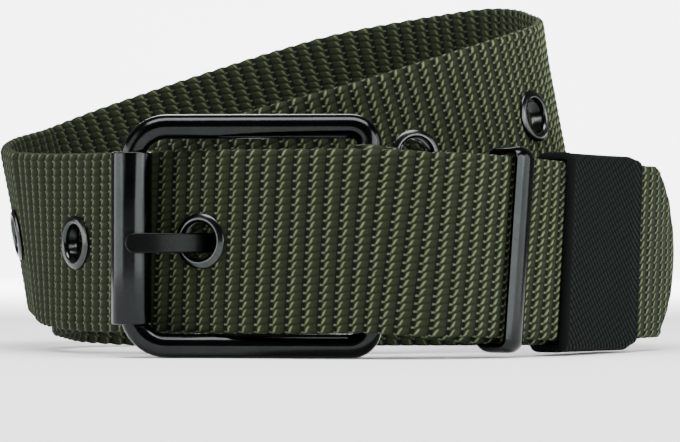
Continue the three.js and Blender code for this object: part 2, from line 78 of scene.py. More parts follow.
@dataclass(frozen=True)
class BeltSizes:
    """Named sizes of the belt in millimetres, the same as those of its solids."""

    strap_width: float = 38.0
    strap_thickness: float = 2.2
    tip_bulge: float = 11.0
    fold_length: float = 24.0
    coil_width: float = 150.0
    coil_depth: float = 130.0
    wire_diameter: float = 5.1
    buckle_pitch: float = 49.9
    buckle_side_play: float = 1.3
    buckle_corner: float = 7.5
    anchor_corner: float = 4.0
    buckle_yaw_deg: float = 4.5
    roller_diameter: float = 8.5
    roller_wall: float = 0.5
    roller_lap: float = 2.6
    roller_drop: float = 0.4
    prong_width: float = 4.2
    prong_thickness: float = 2.2
    prong_drop: float = 1.4
    eyelet_diameter: float = 11.6
    eyelet_bore: float = 7.6
    eyelet_flange: float = 0.75
    eyelet_pitch: float = 37.0
    first_eyelet: float = 142.0
    eyelet_count: int = 16
    keeper_width: float = 6.0
    keeper_wall: float = 1.8
    keeper_from_tip: float = 71.8
    keeper_drop: float = 0.9
    keeper_tilt_deg: float = 4.0
    elastic_width: float = 34.0
    elastic_wall: float = 1.4
    elastic_from_tip: float = 39.3
    elastic_drop: float = 0.7
    elastic_tilt_deg: float = 3.5
    fit: float = 0.3
    ply_gap: float = 0.9
    sleeve_play: float = 0.5

    @property
    def half_width(self) -> float:
        """Half the strap's width."""
        return self.strap_width / 2

    @property
    def half_ply(self) -> float:
        """Half the strap's thickness."""
        return self.strap_thickness / 2

    @property
    def ply_pitch(self) -> float:
        """Distance between the middles of two plies that lie together."""
        return self.strap_thickness + self.ply_gap

    @property
    def wire_radius(self) -> float:
        """Radius of the buckle frame's wire."""
        return self.wire_diameter / 2

    @property
    def roller_radius(self) -> float:
        """Outside radius of the roller."""
        return self.roller_diameter / 2

    @property
    def wrap_radius(self) -> float:
        """Radius of the strap's middle where it wraps the anchor bar."""
        return self.wire_radius + 2 * self.fit + self.half_ply

    @property
    def buckle_height(self) -> float:
        """Height of the buckle frame between its rails' centre lines."""
        return self.strap_width + 2 * self.buckle_side_play + self.wire_diameter

    @property
    def roller_length(self) -> float:
        """Length of the roller, which laps over the start of both corners."""
        return self.buckle_height - 2 * self.buckle_corner + 2 * self.roller_lap

    @property
    def hole_radius(self) -> float:
        """Radius of the holes in the strap that the eyelets sit in."""
        return self.eyelet_bore / 2 + self.eyelet_flange / 2 + self.fit

    @property
    def eyelet_flat(self) -> float:
        """Half the length of the straight stretch under an eyelet."""
        return self.eyelet_diameter / 2 + 2 * self.fit


SIZES = BeltSizes()


# Course of the strap


@dataclass(frozen=True)
class Station:
    """A place on the strap's course: plan position, height of the lower edge and lean."""

    x: float
    y: float
    rise: float
    lean: float = 0.0


@dataclass(frozen=True)
class StripFrames:
    """Middle points and axes of the strap at many distances, one row for each."""

    centre: np.ndarray
    along: np.ndarray
    width: np.ndarray
    outward: np.ndarray

    def at(self, up: np.ndarray, out: np.ndarray) -> np.ndarray:
        """Points at heights up the width and offsets outwards from the middle.

        Args:
            up: offset along the width axis for each row.
            out: offset along the outward axis for each row.

        Returns:
            One point for each row.
        """
        return self.centre + self.width * up[:, None] + self.outward * out[:, None]

    def matrix(self, row: int, shift: np.ndarray) -> Matrix:
        """Placement with x along the strap, y outwards and z up its width, in metres."""
        place = Matrix.Identity(4)
        for column, axis in enumerate((self.along, self.outward, self.width)):
            for line in range(3):
                place[line][column] = axis[row][line]
        place.translation = Vector((self.centre[row] + shift) * MM)
        return place


def normalised(vectors: np.ndarray) -> np.ndarray:
    """Rows of the array brought to length one."""
    return vectors / np.linalg.norm(vectors, axis=1, keepdims=True)


def smooth_share(value: np.ndarray, low: float, high: float) -> np.ndarray:
    """Smooth step from 0 at low to 1 at high."""
    share = np.clip((value - low) / (high - low), 0, 1)
    return share * share * (3 - 2 * share)


class Course:
    """Smooth curve through stations, with the strap's lean carried along it."""

    DIVISIONS = 40

    def __init__(self, stations: list[Station]) -> None:
        """Lays the curve.

        Args:
            stations: places on the course in order.
        """
        self.points = np.array([self._middle(stations, i) for i in range(len(stations))])
        self.leans = np.radians([station.lean for station in stations])
        self.spans = len(stations) - 1
        shares = np.linspace(0, 1, self.spans * self.DIVISIONS + 1)
        places = self.point(shares)[0]
        steps = np.linalg.norm(np.diff(places, axis=0), axis=1)
        self.shares = shares
        self.lengths = np.concatenate(([0.0], np.cumsum(steps)))
        self.stops = self.lengths[:: self.DIVISIONS]

    @staticmethod
    def _middle(stations: list[Station], index: int) -> Point:
        """Middle of the strap at a station, from its lower edge, its climb and its lean."""
        before = stations[max(index - 1, 0)]
        after = stations[min(index + 1, len(stations) - 1)]
        run = math.hypot(after.x - before.x, after.y - before.y)
        climb = math.atan2(after.rise - before.rise, run)
        here = stations[index]
        height = SIZES.half_width * math.cos(climb) * math.cos(math.radians(here.lean))
        return here.x, here.y, here.rise + height

    def point(self, shares: np.ndarray) -> tuple[np.ndarray, np.ndarray]:
        """Points and tangents at shares of the curve.

        Args:
            shares: places on the curve from 0 to 1.

        Returns:
            The points, and the tangents of length one.
        """
        first, last = 2 * self.points[0] - self.points[1], 2 * self.points[-1] - self.points[-2]
        padded = np.vstack([first, self.points, last])
        place = np.clip(shares, 0, 1) * self.spans
        index = np.minimum(place.astype(int), self.spans - 1)
        weight = (place - index)[:, None]
        p0, p1, p2, p3 = (padded[index + step] for step in range(4))
        d0, d1, d2 = (
            np.linalg.norm(b - a, axis=1, keepdims=True) ** 0.5
            for a, b in ((p0, p1), (p1, p2), (p2, p3))
        )
        t1 = ((p1 - p0) / d0 - (p2 - p0) / (d0 + d1) + (p2 - p1) / d1) * d1
        t2 = ((p2 - p1) / d1 - (p3 - p1) / (d1 + d2) + (p3 - p2) / d2) * d1
        c2 = 3 * (p2 - p1) - 2 * t1 - t2
        c3 = 2 * (p1 - p2) + t1 + t2
        points = p1 + t1 * weight + c2 * weight**2 + c3 * weight**3
        tangents = t1 + 2 * c2 * weight + 3 * c3 * weight**2
        return points, normalised(tangents)

    def frames(self, distances: np.ndarray) -> StripFrames:
        """Middle points and axes at distances from the course's start, straight before it."""
        shares = np.interp(distances, self.lengths, self.shares)
        centre, along = self.point(shares)
        centre = centre + along * np.minimum(distances, 0)[:, None]
        lean = np.interp(shares * self.spans, np.arange(self.spans + 1), self.leans)[:, None]
        upright = normalised(np.array([0.0, 0.0, 1.0]) - along * along[:, 2:3])
        outward = np.cross(upright, along)
        width = upright * np.cos(lean) + outward * np.sin(lean)
        return StripFrames(centre, along, width, normalised(np.cross(width, along)))


@dataclass
class BuckleSeat:
    """Plan frame of the buckle: reach runs from the anchor bar to the roller."""

    anchor_across: float = 0.083

    def __post_init__(self) -> None:
        """Works out the anchor bar's place and the two plan axes."""
        yaw = math.radians(SIZES.buckle_yaw_deg)
        clear = SIZES.wrap_radius + SIZES.strap_thickness + SIZES.half_ply + 2 * SIZES.fit
        self.anchor = np.array([SIZES.coil_width / 2 * self.anchor_across, clear])
        self.reach_axis = np.array([-math.cos(yaw), math.sin(yaw)])
        self.front_axis = np.array([-math.sin(yaw), -math.cos(yaw)])
        self.middle = SIZES.buckle_height / 2 + SIZES.wire_radius

    def plan(self, reach: float, front: float) -> np.ndarray:
        """Plan position at a reach from the anchor bar and an offset to the front."""
        return self.anchor + reach * self.reach_axis + front * self.front_axis

    def matrix(self, shift: np.ndarray, drop: float = 0.0) -> Matrix:
        """Placement with x to the roller, y away from the viewer and z up, in metres.

        Args:
            shift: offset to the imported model's origin.
            drop: how far the piece hangs below the frame's middle.

        Returns:
            The placement.
        """
        place = Matrix.Identity(4)
        for line in range(2):
            place[line][0] = self.reach_axis[line]
            place[line][1] = -self.front_axis[line]
        origin = np.array([*self.anchor, self.middle - drop]) + shift
        place.translation = Vector(origin * MM)
        return place

    def prong_line(self) -> "PlanCurve":
        """Middle line of the prong, as reach and depth behind the frame's plane."""
        wire, thick = SIZES.wire_diameter, SIZES.prong_thickness
        rest = SIZES.roller_radius + SIZES.fit
        rows = (
            (0.065, 0), (0.27, -0.25 * wire), (0.5, -0.5 * wire), (0.61, -0.62 * wire),
            (0.695, -0.16 * wire), (0.79, 0.62 * wire), (0.88, rest + 0.3 * thick),
            (0.955, rest + 0.54 * thick), (1.01, rest + 0.56 * thick),
        )
        return PlanCurve(np.array([(share * SIZES.buckle_pitch, -front) for share, front in rows]))


@dataclass
class StrapCourse:
    """The strap's whole course from its tip to the stitched fold at the anchor bar."""

    seat: BuckleSeat
    seat_rise: float = SIZES.wire_diameter + SIZES.fit
    axis_blend: float = 4.0

    # across, back and rise as shares of the half coil width, the depth and the strap's width
    TAIL = (
        (1.013, 0.592, 0.082, 0), (0.939, 0.492, 0.082, 0), (0.752, 0.323, 0.084, 0),
        (0.592, 0.177, 0.092, 0), (0.503, 0.123, 0.105, 0), (0.415, 0.066, 0.115, 0),
        (0.329, 0.032, 0.122, 0), (0.245, 0.016, 0.126, 0),
    )
    COIL = (
        (-0.665, 0.2, 0.135, 0), (-0.8, 0.316, 0.14, 2), (-0.903, 0.43, 0.165, 7),
        (-0.967, 0.57, 0.22, 11), (-0.955, 0.72, 0.295, 10), (-0.867, 0.85, 0.38, 8),
        (-0.66, 0.945, 0.56, 5), (-0.36, 0.99, 0.763, 2), (0, 1, 0.973, 0),
        (0.26, 0.985, 1.063, -3), (0.48, 0.91, 1.11, -6), (0.607, 0.78, 1.07, -9),
        (0.645, 0.62, 0.985, -11), (0.598, 0.49, 0.915, -10), (0.465, 0.384, 0.815, -6),
        (0.3, 0.306, 0.703, -3), (0.1, 0.254, 0.573, 0), (-0.14, 0.236, 0.443, 0),
        (-0.38, 0.25, 0.3, 0), (-0.59, 0.308, 0.17, 1), (-0.77, 0.41, 0.12, 3),
        (-0.858, 0.54, 0.09, 3), (-0.8, 0.67, 0.04, 3), (-0.62, 0.745, 0.006, 1),
        (-0.3, 0.775, 0, 0), (0.05, 0.775, 0, 0), (0.4, 0.785, 0, 0), (0.68, 0.82, 0.006, 0),
        (0.86, 0.815, 0.035, 0), (0.945, 0.73, 0.062, 0),
    )
    # run as a share of the tail, plies behind it, and drop as a share of the strap's width
    UNDER = (
        (0.04, 1, 0.008), (0.15, 1, 0.008), (0.26, 1, 0.008), (0.37, 1, 0.008),
        (0.48, 1, 0.015), (0.58, 1, 0.03), (0.67, 1, 0.035), (0.77, 1, 0.03), (0.88, 1, 0.005),
    )
    FOLD = (
        (0.93, 3.1, -0.01), (0.87, 2.65, 0), (0.8, 2.2, 0.015), (0.72, 2, 0.03), (0.62, 2, 0.03),
    )
    WRAP_STEPS = 8

    def __post_init__(self) -> None:
        """Lays the course and finds the eyelets' places."""
        tail = [self._coil_station(row) for row in self.TAIL]
        threaded = self._threaded()
        self.tail_only = Course([*tail, *threaded])
        self.tail_run = self.tail_only.stops[len(tail)]
        coil = [self._coil_station(row) for row in self.COIL]
        until_wrap = [*tail, *threaded, *coil, *self._beside_tail(self.UNDER)]
        wrap = self._wrap()
        self.course = Course([*until_wrap, *wrap, *self._beside_tail(self.FOLD)])
        stops = self.course.stops
        crossing = self._crossing(stops[len(tail)], stops[len(tail) + len(threaded) - 1])
        self.tip_at = crossing - SIZES.first_eyelet
        self.wrap_from = stops[len(until_wrap)] - self.tip_at
        self.wrap_to = stops[len(until_wrap) + len(wrap) - 1] - self.tip_at
        self.length = min(self.course.lengths[-1] - self.tip_at, self.wrap_to + SIZES.fold_length)
        self.eyelets = SIZES.first_eyelet + SIZES.eyelet_pitch * np.arange(SIZES.eyelet_count)
        self.shift = self._shift_to_frame()

    @staticmethod
    def _coil_station(row: tuple[float, float, float, float]) -> Station:
        """Station from a row of shares."""
        across, back, rise, lean = row
        x = across * SIZES.coil_width / 2
        return Station(x, back * SIZES.coil_depth, rise * SIZES.strap_width, lean)

    def _threaded(self) -> list[Station]:
        """Stations where the strap passes over the anchor bar and behind the roller."""
        wrap, ply, roller = SIZES.wrap_radius, SIZES.strap_thickness, SIZES.roller_radius
        rows = (
            (0, wrap + ply + SIZES.fit), (0.3, wrap + ply * 0.6), (0.52, wrap * 0.72),
            (0.7, -0.3 * ply), (0.84, -roller * 0.85),
            (1, -(roller + 2 * SIZES.fit + SIZES.half_ply)),
        )
        places = [self.seat.plan(reach * SIZES.buckle_pitch, front) for reach, front in rows]
        return [Station(*place, self.seat_rise) for place in places]

    def _wrap(self) -> list[Station]:
        """Stations half way round the anchor bar."""
        radius = SIZES.wrap_radius
        rise = SIZES.wire_diameter + SIZES.buckle_side_play
        turns = [math.pi * step / self.WRAP_STEPS for step in range(self.WRAP_STEPS + 1)]
        places = [self.seat.plan(radius * math.sin(t), radius * math.cos(t)) for t in turns]
        return [Station(*place, rise) for place in places]

    def _beside_tail(self, table: tuple[tuple[float, float, float], ...]) -> list[Station]:
        """Stations that lie a number of plies behind the tail."""
        stations = []
        for run, plies, drop in table:
            at = self.tail_only.frames(np.array([run * self.tail_run]))
            place = at.centre[0] - plies * SIZES.ply_pitch * at.outward[0]
            rise = place[2] - SIZES.half_width - drop * SIZES.strap_width
            stations.append(Station(place[0], place[1], rise))
        return stations

    def _crossing(self, start: float, stop: float) -> float:
        """Distance on the course at which the prong comes through the strap.

        Args:
            start: distance from which it is looked for.
            stop: distance up to which it is looked for.

        Returns:
            The distance.
        """
        distances = np.linspace(start, stop, 401)
        strap = self.course.frames(distances).centre[:, None, :2]
        reach, depth = self.seat.prong_line().samples.T
        prong = self.seat.anchor + np.outer(reach, self.seat.reach_axis)
        prong = prong - np.outer(depth, self.seat.front_axis)
        gaps = np.linalg.norm(strap - prong[None, :, :], axis=2).min(axis=1)
        return float(distances[np.argmin(gaps)])

    def _shift_to_frame(self) -> np.ndarray:
        """Offset from the course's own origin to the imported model's, in millimetres."""
        low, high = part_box("buckle_roller")
        seen = np.array((low + high) / 2) / MM
        height = self.seat.middle - SIZES.roller_drop
        made = np.array([*self.seat.plan(SIZES.buckle_pitch, 0), height])
        return seen - made

    def eyelet_frames(self) -> StripFrames:
        """Placement of every eyelet on its own straight stretch."""
        near = self.bent(self.eyelets - SIZES.eyelet_flat)
        far = self.bent(self.eyelets + SIZES.eyelet_flat)
        along = normalised(far.centre - near.centre)
        width = near.width + far.width
        width = normalised(width - along * np.sum(along * width, axis=1, keepdims=True))
        outward = normalised(np.cross(width, along))
        return StripFrames((near.centre + far.centre) / 2, along, width, outward)

    def bent(self, distances: np.ndarray) -> StripFrames:
        """Middle points and axes on the smooth course at distances from the tip."""
        return self.course.frames(self.tip_at + distances)

    def frames(self, distances: np.ndarray) -> StripFrames:
        """Middle points and axes at distances from the tip, straight under the eyelets."""
        bent = self.bent(distances)
        centre, width, outward = bent.centre.copy(), bent.width.copy(), bent.outward.copy()
        flats = self.eyelet_frames()
        near = self.bent(self.eyelets - SIZES.eyelet_flat).centre
        far = self.bent(self.eyelets + SIZES.eyelet_flat).centre
        for row, at in enumerate(self.eyelets):
            off = distances - at
            inside = np.abs(off) <= SIZES.eyelet_flat
            share = (off[inside, None] / SIZES.eyelet_flat + 1) / 2
            centre[inside] = near[row] + (far[row] - near[row]) * share
            reach = SIZES.eyelet_flat + self.axis_blend
            close = np.abs(off) < reach
            hold = 1 - smooth_share(np.abs(off[close]), SIZES.eyelet_flat, reach)[:, None]
            width[close] += (flats.width[row] - width[close]) * hold
            outward[close] += (flats.outward[row] - outward[close]) * hold
        outward = normalised(outward)
        width = normalised(width - outward * np.sum(outward * width, axis=1, keepdims=True))
        return StripFrames(centre, bent.along, width, outward)


# Shader maths


@dataclass(frozen=True)
class Signal:
    """A shader socket that takes part in Python arithmetic."""

    bench: "ShaderBench"
    socket: bpy.types.NodeSocket

    def _math(self, operation: str, *terms: "Signal | float") -> "Signal":
        """Signal worked out by a Math node from the terms."""
        made = self.bench.node("ShaderNodeMath", {"operation": operation}, dict(enumerate(terms)))
        return Signal(self.bench, made.outputs[0])

    def __add__(self, other: "Signal | float") -> "Signal":
        """Sum."""
        return self._math("ADD", self, other)

    __radd__ = __add__

    def __sub__(self, other: "Signal | float") -> "Signal":
        """Difference."""
        return self._math("SUBTRACT", self, other)

    def __rsub__(self, other: float) -> "Signal":
        """Difference from a number."""
        return self._math("SUBTRACT", other, self)

    def __mul__(self, other: "Signal | float") -> "Signal":
        """Product."""
        return self._math("MULTIPLY", self, other)

    __rmul__ = __mul__

    def fraction(self) -> "Signal":
        """Part after the point."""
        return self._math("FRACT", self)

    def size(self) -> "Signal":
        """Absolute value."""
        return self._math("ABSOLUTE", self)

    def top(self, other: "Signal | float") -> "Signal":
        """Larger of the two."""
        return self._math("MAXIMUM", self, other)

    def fade(self, low: float, high: float) -> "Signal":
        """Smooth step from 1 at low to 0 at high."""
        settings = {"interpolation_type": "SMOOTHSTEP"}
        inputs = {"Value": self, "From Min": low, "From Max": high, "To Min": 1.0, "To Max": 0.0}
        return Signal(self.bench, self.bench.node("ShaderNodeMapRange", settings, inputs).outputs[0])


class ShaderBench:
    """A material's node tree with one method that makes any node."""

    def __init__(self, name: str) -> None:
        """Starts an empty material with a principled shader.

        Args:
            name: the material's name.
        """
        self.material = bpy.data.materials.new(name)
        self.material.use_nodes = True
        self.tree = self.material.node_tree
        self.tree.nodes.clear()
        self.shader = self.node("ShaderNodeBsdfPrincipled", {}, {})
        output = self.node("ShaderNodeOutputMaterial", {}, {})
        self.tree.links.new(self.shader.outputs[0], output.inputs["Surface"])

    def node(self, kind: str, settings: dict, inputs: dict) -> bpy.types.Node:
        """Adds a node.

        Args:
            kind: the node's type.
            settings: attributes, set first; a list under "stops" gives a ramp's stops.
            inputs: values or signals by socket name or number.

        Returns:
            The node.
        """
        made = self.tree.nodes.new(kind)
        for name, value in settings.items():
            if name == "stops":
                self._set_stops(made, value)
            else:
                setattr(made, name, value)
        for key, value in inputs.items():
            if isinstance(value, Signal):
                self.tree.links.new(value.socket, made.inputs[key])
            else:
                made.inputs[key].default_value = value
        return made

    @staticmethod
    def _set_stops(ramp: bpy.types.Node, stops: list[tuple[float, Colour]]) -> None:
        """Gives a ramp node its stops."""
        elements = ramp.color_ramp.elements
        while len(elements) < len(stops):
            elements.new(1.0)
        for element, (place, colour) in zip(elements, stops):
            element.position, element.color = place, colour

    def feed(self, **inputs: "Signal | float | Colour") -> None:
        """Sets or links the shader's sockets, with _ for a space in a socket's name."""
        for name, value in inputs.items():
            socket = self.shader.inputs[name.replace("_", " ")]
            if isinstance(value, Signal):
                self.tree.links.new(value.socket, socket)
            else:
                socket.default_value = value

    def surface_coordinates(self) -> tuple[Signal, Signal, Signal]:
        """The piece's own UV map as a vector, and its two parts."""
        uv = Signal(self, self.node("ShaderNodeUVMap", {"uv_map": WEAVE_UV}, {}).outputs[0])
        parts = self.node("ShaderNodeSeparateXYZ", {}, {0: uv})
        return uv, Signal(self, parts.outputs[0]), Signal(self, parts.outputs[1])

    def object_coordinates(self) -> Signal:
        """Object coordinates in metres."""
        return Signal(self, self.node("ShaderNodeTexCoord", {}, {}).outputs["Object"])

    def attribute(self, name: str) -> Signal:
        """A number stored on the piece's points."""
        made = self.node("ShaderNodeAttribute", {"attribute_name": name}, {})
        return Signal(self, made.outputs["Fac"])

    def noise(self, vector: Signal, scale: float, detail: float = 2.0) -> Signal:
        """Noise from 0 to 1 on the given coordinates."""
        inputs = {"Vector": vector, "Scale": scale, "Detail": detail, "Roughness": 0.55}
        return Signal(self, self.node("ShaderNodeTexNoise", {}, inputs).outputs["Fac"])

    def mix(self, share: "Signal | float", low: "Signal | Colour", high: "Signal | Colour") -> Signal:
        """Colour between low at 0 and high at 1."""
        made = self.node("ShaderNodeMix", {"data_type": "RGBA"}, {0: share, 6: low, 7: high})
        return Signal(self, made.outputs[2])

    def bump(self, height: Signal, strength: float, distance: float) -> Signal:
        """Normal from a height."""
        inputs = {"Height": height, "Strength": strength, "Distance": distance}
        return Signal(self, self.node("ShaderNodeBump", {}, inputs).outputs[0])


# Finishes


@dataclass(frozen=True)
class WebbingFinish:
    """Olive webbing with ribs across its width, crossed by slanted warp floats, with painted shade in
    the weave's hollows and on the inner face and painted highlights on the thread strokes.
    """

    name: str = "olive_webbing"
    # hollow_shade: painted shade, the near-black colour put where the weave's hollows lie between ribs
    hollow_shade: Colour = (0.0008, 0.0013, 0.0005, 1)
    body: Colour = (0.0122, 0.0172, 0.0064, 1)
    # thread: colour of the strokes and dashes, partly the threads' own lighter tone and partly painted
    # highlight
    thread: Colour = (0.1, 0.125, 0.066, 1)
    fused: Colour = (0.004, 0.0055, 0.0028, 1)

    def make(self) -> bpy.types.Material:
        """Builds the material.

        Returns:
            The material, which reads the weave's UV map in ribs and rows.
        """
        bench = ShaderBench(self.name)
        uv, ribs, rows = bench.surface_coordinates()
        grain = bench.noise(uv, 2.3, 3.0)
        fibre = bench.noise(uv, 11.0, 2.0)
        across = 1 - (ribs + (grain - 0.5) * 0.07).fraction()
        up = (rows - (across - 0.45) * 0.4 + (grain - 0.5) * 0.12).fraction()
        pillow = (up - 0.5).size().fade(0.18, 0.5)
        rise = 1 - across.fade(0.2, 0.36)
        slope = across.fade(0.6, 1.05) * 0.45 + 0.55
        rib = rise * slope * (pillow * 0.4 + 0.6)
        stroke = (across - up * 0.26 - 0.29).size().fade(0.03, 0.12) * pillow
        row_line = ((rows + 0.5).fraction() - 0.5).size() + (across - 0.19) * 0.2
        dash = row_line.fade(0.05, 0.2) * (across - 0.19).size().fade(0.07, 0.15)
        # Strokes on the ribs' left flanks and weft dashes: partly lighter thread, partly painted
        # highlight of light from the left
        thread_highlight = (stroke * 0.95).top(dash * 0.75) * (grain * 1.1 + 0.3)
        # Painted shade: the thread strokes and dashes are dimmed on the strap's inner face
        thread_highlight = thread_highlight * (1 - bench.attribute("reverse") * 0.55)
        fused = bench.attribute("fused")
        # Painted shade: the colour falls from body to near black where the rib's relief is low, in the
        # hollows, down the rib's right slope and at the rows' edges
        shade = bench.mix(rib * (fibre * 0.5 + 0.65), self.hollow_shade, self.body)
        # Painted highlight: strokes and dashes mixed towards the thread colour
        shade = bench.mix(thread_highlight, shade, self.thread)
        shade = bench.mix(fused, shade, self.fused)
        height = rib * 0.8 + stroke * 0.25 + dash * 0.45 + fibre * 0.12
        bench.feed(
            Base_Color=shade,
            Roughness=fused * -0.3 + (0.82 - thread_highlight * 0.1),
            Normal=bench.bump(height * (1 - fused), 0.9, 0.0004),
            Sheen_Weight=0.02,
            Sheen_Roughness=0.45,
            Sheen_Tint=(0.75, 0.85, 0.65, 1),
            Specular_IOR_Level=0.1,
        )
        return bench.material


@dataclass(frozen=True)
class GunmetalFinish:
    """Dark polished metal with faint marks and brighter worn spots."""

    name: str = "gunmetal_polish"
    dark: Colour = (0.013, 0.0145, 0.0145, 1)
    worn: Colour = (0.03, 0.033, 0.032, 1)
    roughness: float = 0.13
    spread: float = 0.1

    def make(self) -> bpy.types.Material:
        """Builds the material."""
        bench = ShaderBench(self.name)
        place = bench.object_coordinates()
        cloud = bench.noise(place, 160.0, 3.0)
        marks = bench.noise(place, 1400.0, 2.0)
        bench.feed(
            Base_Color=bench.mix(cloud * marks, self.dark, self.worn),
            Metallic=1.0,
            Roughness=cloud * self.spread + (self.roughness - self.spread / 2) + marks * 0.06,
            Normal=bench.bump(marks + cloud * 2.0, 0.04, 0.0001),
        )
        return bench.material


@dataclass(frozen=True)
class ElasticFinish:
    """Charcoal elastic with a fine steep twill and plain selvages."""

    name: str = "charcoal_elastic"
    ground: Colour = (0.0009, 0.0013, 0.0012, 1)
    rib: Colour = (0.0085, 0.0125, 0.0105, 1)
    twill_pitch: float = 1.42
    dash_pitch: float = 1.7
    slope: float = 0.9

    def make(self) -> bpy.types.Material:
        """Builds the material.

        Returns:
            The material, which reads the band's UV map in millimetres.
        """
        bench = ShaderBench(self.name)
        uv, across, up = bench.surface_coordinates()
        grain = bench.noise(uv, 1.6, 3.0)
        wale = up * (self.slope / self.twill_pitch) - across * (1 / self.twill_pitch)
        line = (wale.fraction() - 0.5).size().fade(0.1, 0.42)
        stagger = (up * (1 / self.dash_pitch) + across * (0.37 / self.twill_pitch)).fraction()
        dash = (stagger - 0.5).size().fade(0.3, 0.5)
        selvage = bench.attribute("selvage")
        weave = line * (dash * 0.7 + 0.3) * (1 - selvage) + selvage * 0.22
        bench.feed(
            Base_Color=bench.mix(weave * (grain * 0.9 + 0.4), self.ground, self.rib),
            Roughness=0.8 - weave * 0.15,
            Normal=bench.bump(weave + grain * 0.15, 0.7, 0.00018),
            Specular_IOR_Level=0.03,
        )
        return bench.material


@dataclass(frozen=True)
class ThreadFinish:
    """Dark olive sewing thread with a twist."""

    name: str = "stitching_thread"
    dark: Colour = (0.012, 0.016, 0.009, 1)
    light: Colour = (0.07, 0.085, 0.05, 1)

    def make(self) -> bpy.types.Material:
        """Builds the material."""
        bench = ShaderBench(self.name)
        place = bench.object_coordinates()
        twist = bench.noise(place, 2600.0, 1.0)
        bench.feed(
            Base_Color=bench.mix(twist, self.dark, self.light),
            Roughness=0.7,
            Normal=bench.bump(twist, 0.5, 0.0001),
        )
        return bench.material


@dataclass(frozen=True)
class PaperFinish:
    """White paper of the studio's sweep."""

    name: str = "white_paper"
    shade: Colour = (0.88, 0.88, 0.88, 1)
    fibre: Colour = (0.9, 0.9, 0.9, 1)

    def make(self) -> bpy.types.Material:
        """Builds the material."""
        bench = ShaderBench(self.name)
        fibre = bench.noise(bench.object_coordinates(), 400.0, 2.0)
        bench.feed(
            Base_Color=bench.mix(fibre, self.shade, self.fibre),
            Roughness=0.9,
            Specular_IOR_Level=0.1,
        )
        return bench.material


# Making meshes


@dataclass
class MetalBench:
    """Models one hard piece with Blender's edit operators, in millimetres about its origin."""

    name: str
    made: bpy.types.Object | None = None

    def ring(self, sides: int, radius: float, location: Point, turn: Point = (0, 0, 0)) -> None:
        """Starts the piece with an open circle and enters edit mode.

        Args:
            sides: number of points on the circle.
            radius: its radius.
            location: its middle.
            turn: its Euler angles.
        """
        bpy.ops.object.select_all(action="DESELECT")
        bpy.ops.mesh.primitive_circle_add(
            vertices=sides, radius=radius, location=(0, 0, 0), rotation=(0, 0, 0)
        )
        self.made = bpy.context.object
        self.made.name = self.name
        for vertex in self.made.data.vertices:
            vertex.select = True
        self.made.rotation_euler = turn
        self.made.location = location
        bpy.ops.object.transform_apply(location=True, rotation=True, scale=True)
        bpy.ops.object.mode_set(mode="EDIT")
        bpy.ops.mesh.select_mode(type="VERT")
        bpy.ops.mesh.select_all(action="SELECT")

    def extrude(self, move: Point) -> None:
        """Extrudes what is selected by a step."""
        bpy.ops.mesh.extrude_region_move(TRANSFORM_OT_translate={"value": move})

    def spin(self, steps: int, degrees: float, centre: Point, axis: Point) -> None:
        """Spins what is selected, counter-clockwise seen against the axis."""
        bpy.ops.mesh.spin(steps=steps, angle=-math.radians(degrees), center=centre, axis=axis)

    def turn(self, degrees: float, centre: Point, axis: str = "Z") -> None:
        """Turns what is selected, counter-clockwise seen against the axis."""
        bpy.ops.transform.rotate(
            value=-math.radians(degrees), orient_axis=axis, center_override=centre
        )

    def resize(self, share: Point, centre: Point) -> None:
        """Scales what is selected about a point."""
        bpy.ops.transform.resize(value=share, center_override=centre)

    def finish(self, placement: Matrix, sharp_deg: float = 40.0) -> bpy.types.Object:
        """Merges doubles, turns faces outwards, scales to metres and sets the piece in place.

        Args:
            placement: the piece's place, in metres.
            sharp_deg: edges sharper than this stay sharp.

        Returns:
            The finished object, at the origin with its place in its mesh.
        """
        bpy.ops.mesh.select_all(action="SELECT")
        bpy.ops.mesh.remove_doubles(threshold=0.002)
        bpy.ops.mesh.normals_make_consistent(inside=False)
        bpy.ops.object.mode_set(mode="OBJECT")
        self.made.data.transform(placement @ Matrix.Scale(MM, 4))
        bpy.ops.object.shade_smooth_by_angle(angle=math.radians(sharp_deg))
        return self.made


def turned(name: str, profile: tuple[tuple[float, float], ...], sides: int) -> MetalBench:
    """A ring turned about z from a closed profile of radius and height.

    Args:
        name: the piece's name.
        profile: radius and height of each corner, in order.
        sides: number of points round the ring.

    Returns:
        The bench with the closed ring still in edit mode.
    """
    bench = MetalBench(name)
    radius, height = profile[0]
    bench.ring(sides, radius, (0, 0, height))
    for next_radius, next_height in (*profile[1:], profile[0]):
        bench.extrude((0, 0, next_height - height))
        share = next_radius / radius
        bench.resize((share, share, 1), (0, 0, next_height))
        radius, height = next_radius, next_height
    return bench


def mesh_piece(name: str, points: np.ndarray, faces: np.ndarray) -> bpy.types.Object:
    """An object from points in metres and faces of four corners, with faces pointing outwards.

    Args:
        name: the piece's name.
        points: one point a row.
        faces: four point numbers a row.

    Returns:
        The new object.
    """
    quads = points[faces]
    low = np.cross(quads[:, 1] - quads[:, 0], quads[:, 2] - quads[:, 0])
    high = np.cross(quads[:, 2] - quads[:, 0], quads[:, 3] - quads[:, 0])
    volume = np.sum(quads[:, 0] * (low + high))
    if volume < 0:
        faces = faces[:, ::-1]
    mesh = bpy.data.meshes.new(name)
    mesh.from_pydata(points.tolist(), [], faces.tolist())
    mesh.update()
    made = bpy.data.objects.new(name, mesh)
    bpy.context.scene.collection.objects.link(made)
    return made


def set_uv(made: bpy.types.Object, places: np.ndarray) -> None:
    """Gives a piece its weave UV map from one pair a point."""
    mesh = made.data
    corner = np.empty(len(mesh.loops), dtype=np.int32)
    mesh.loops.foreach_get("vertex_index", corner)
    layer = mesh.uv_layers.new(name=WEAVE_UV)
    layer.data.foreach_set("uv", places[corner].astype(np.float32).ravel())


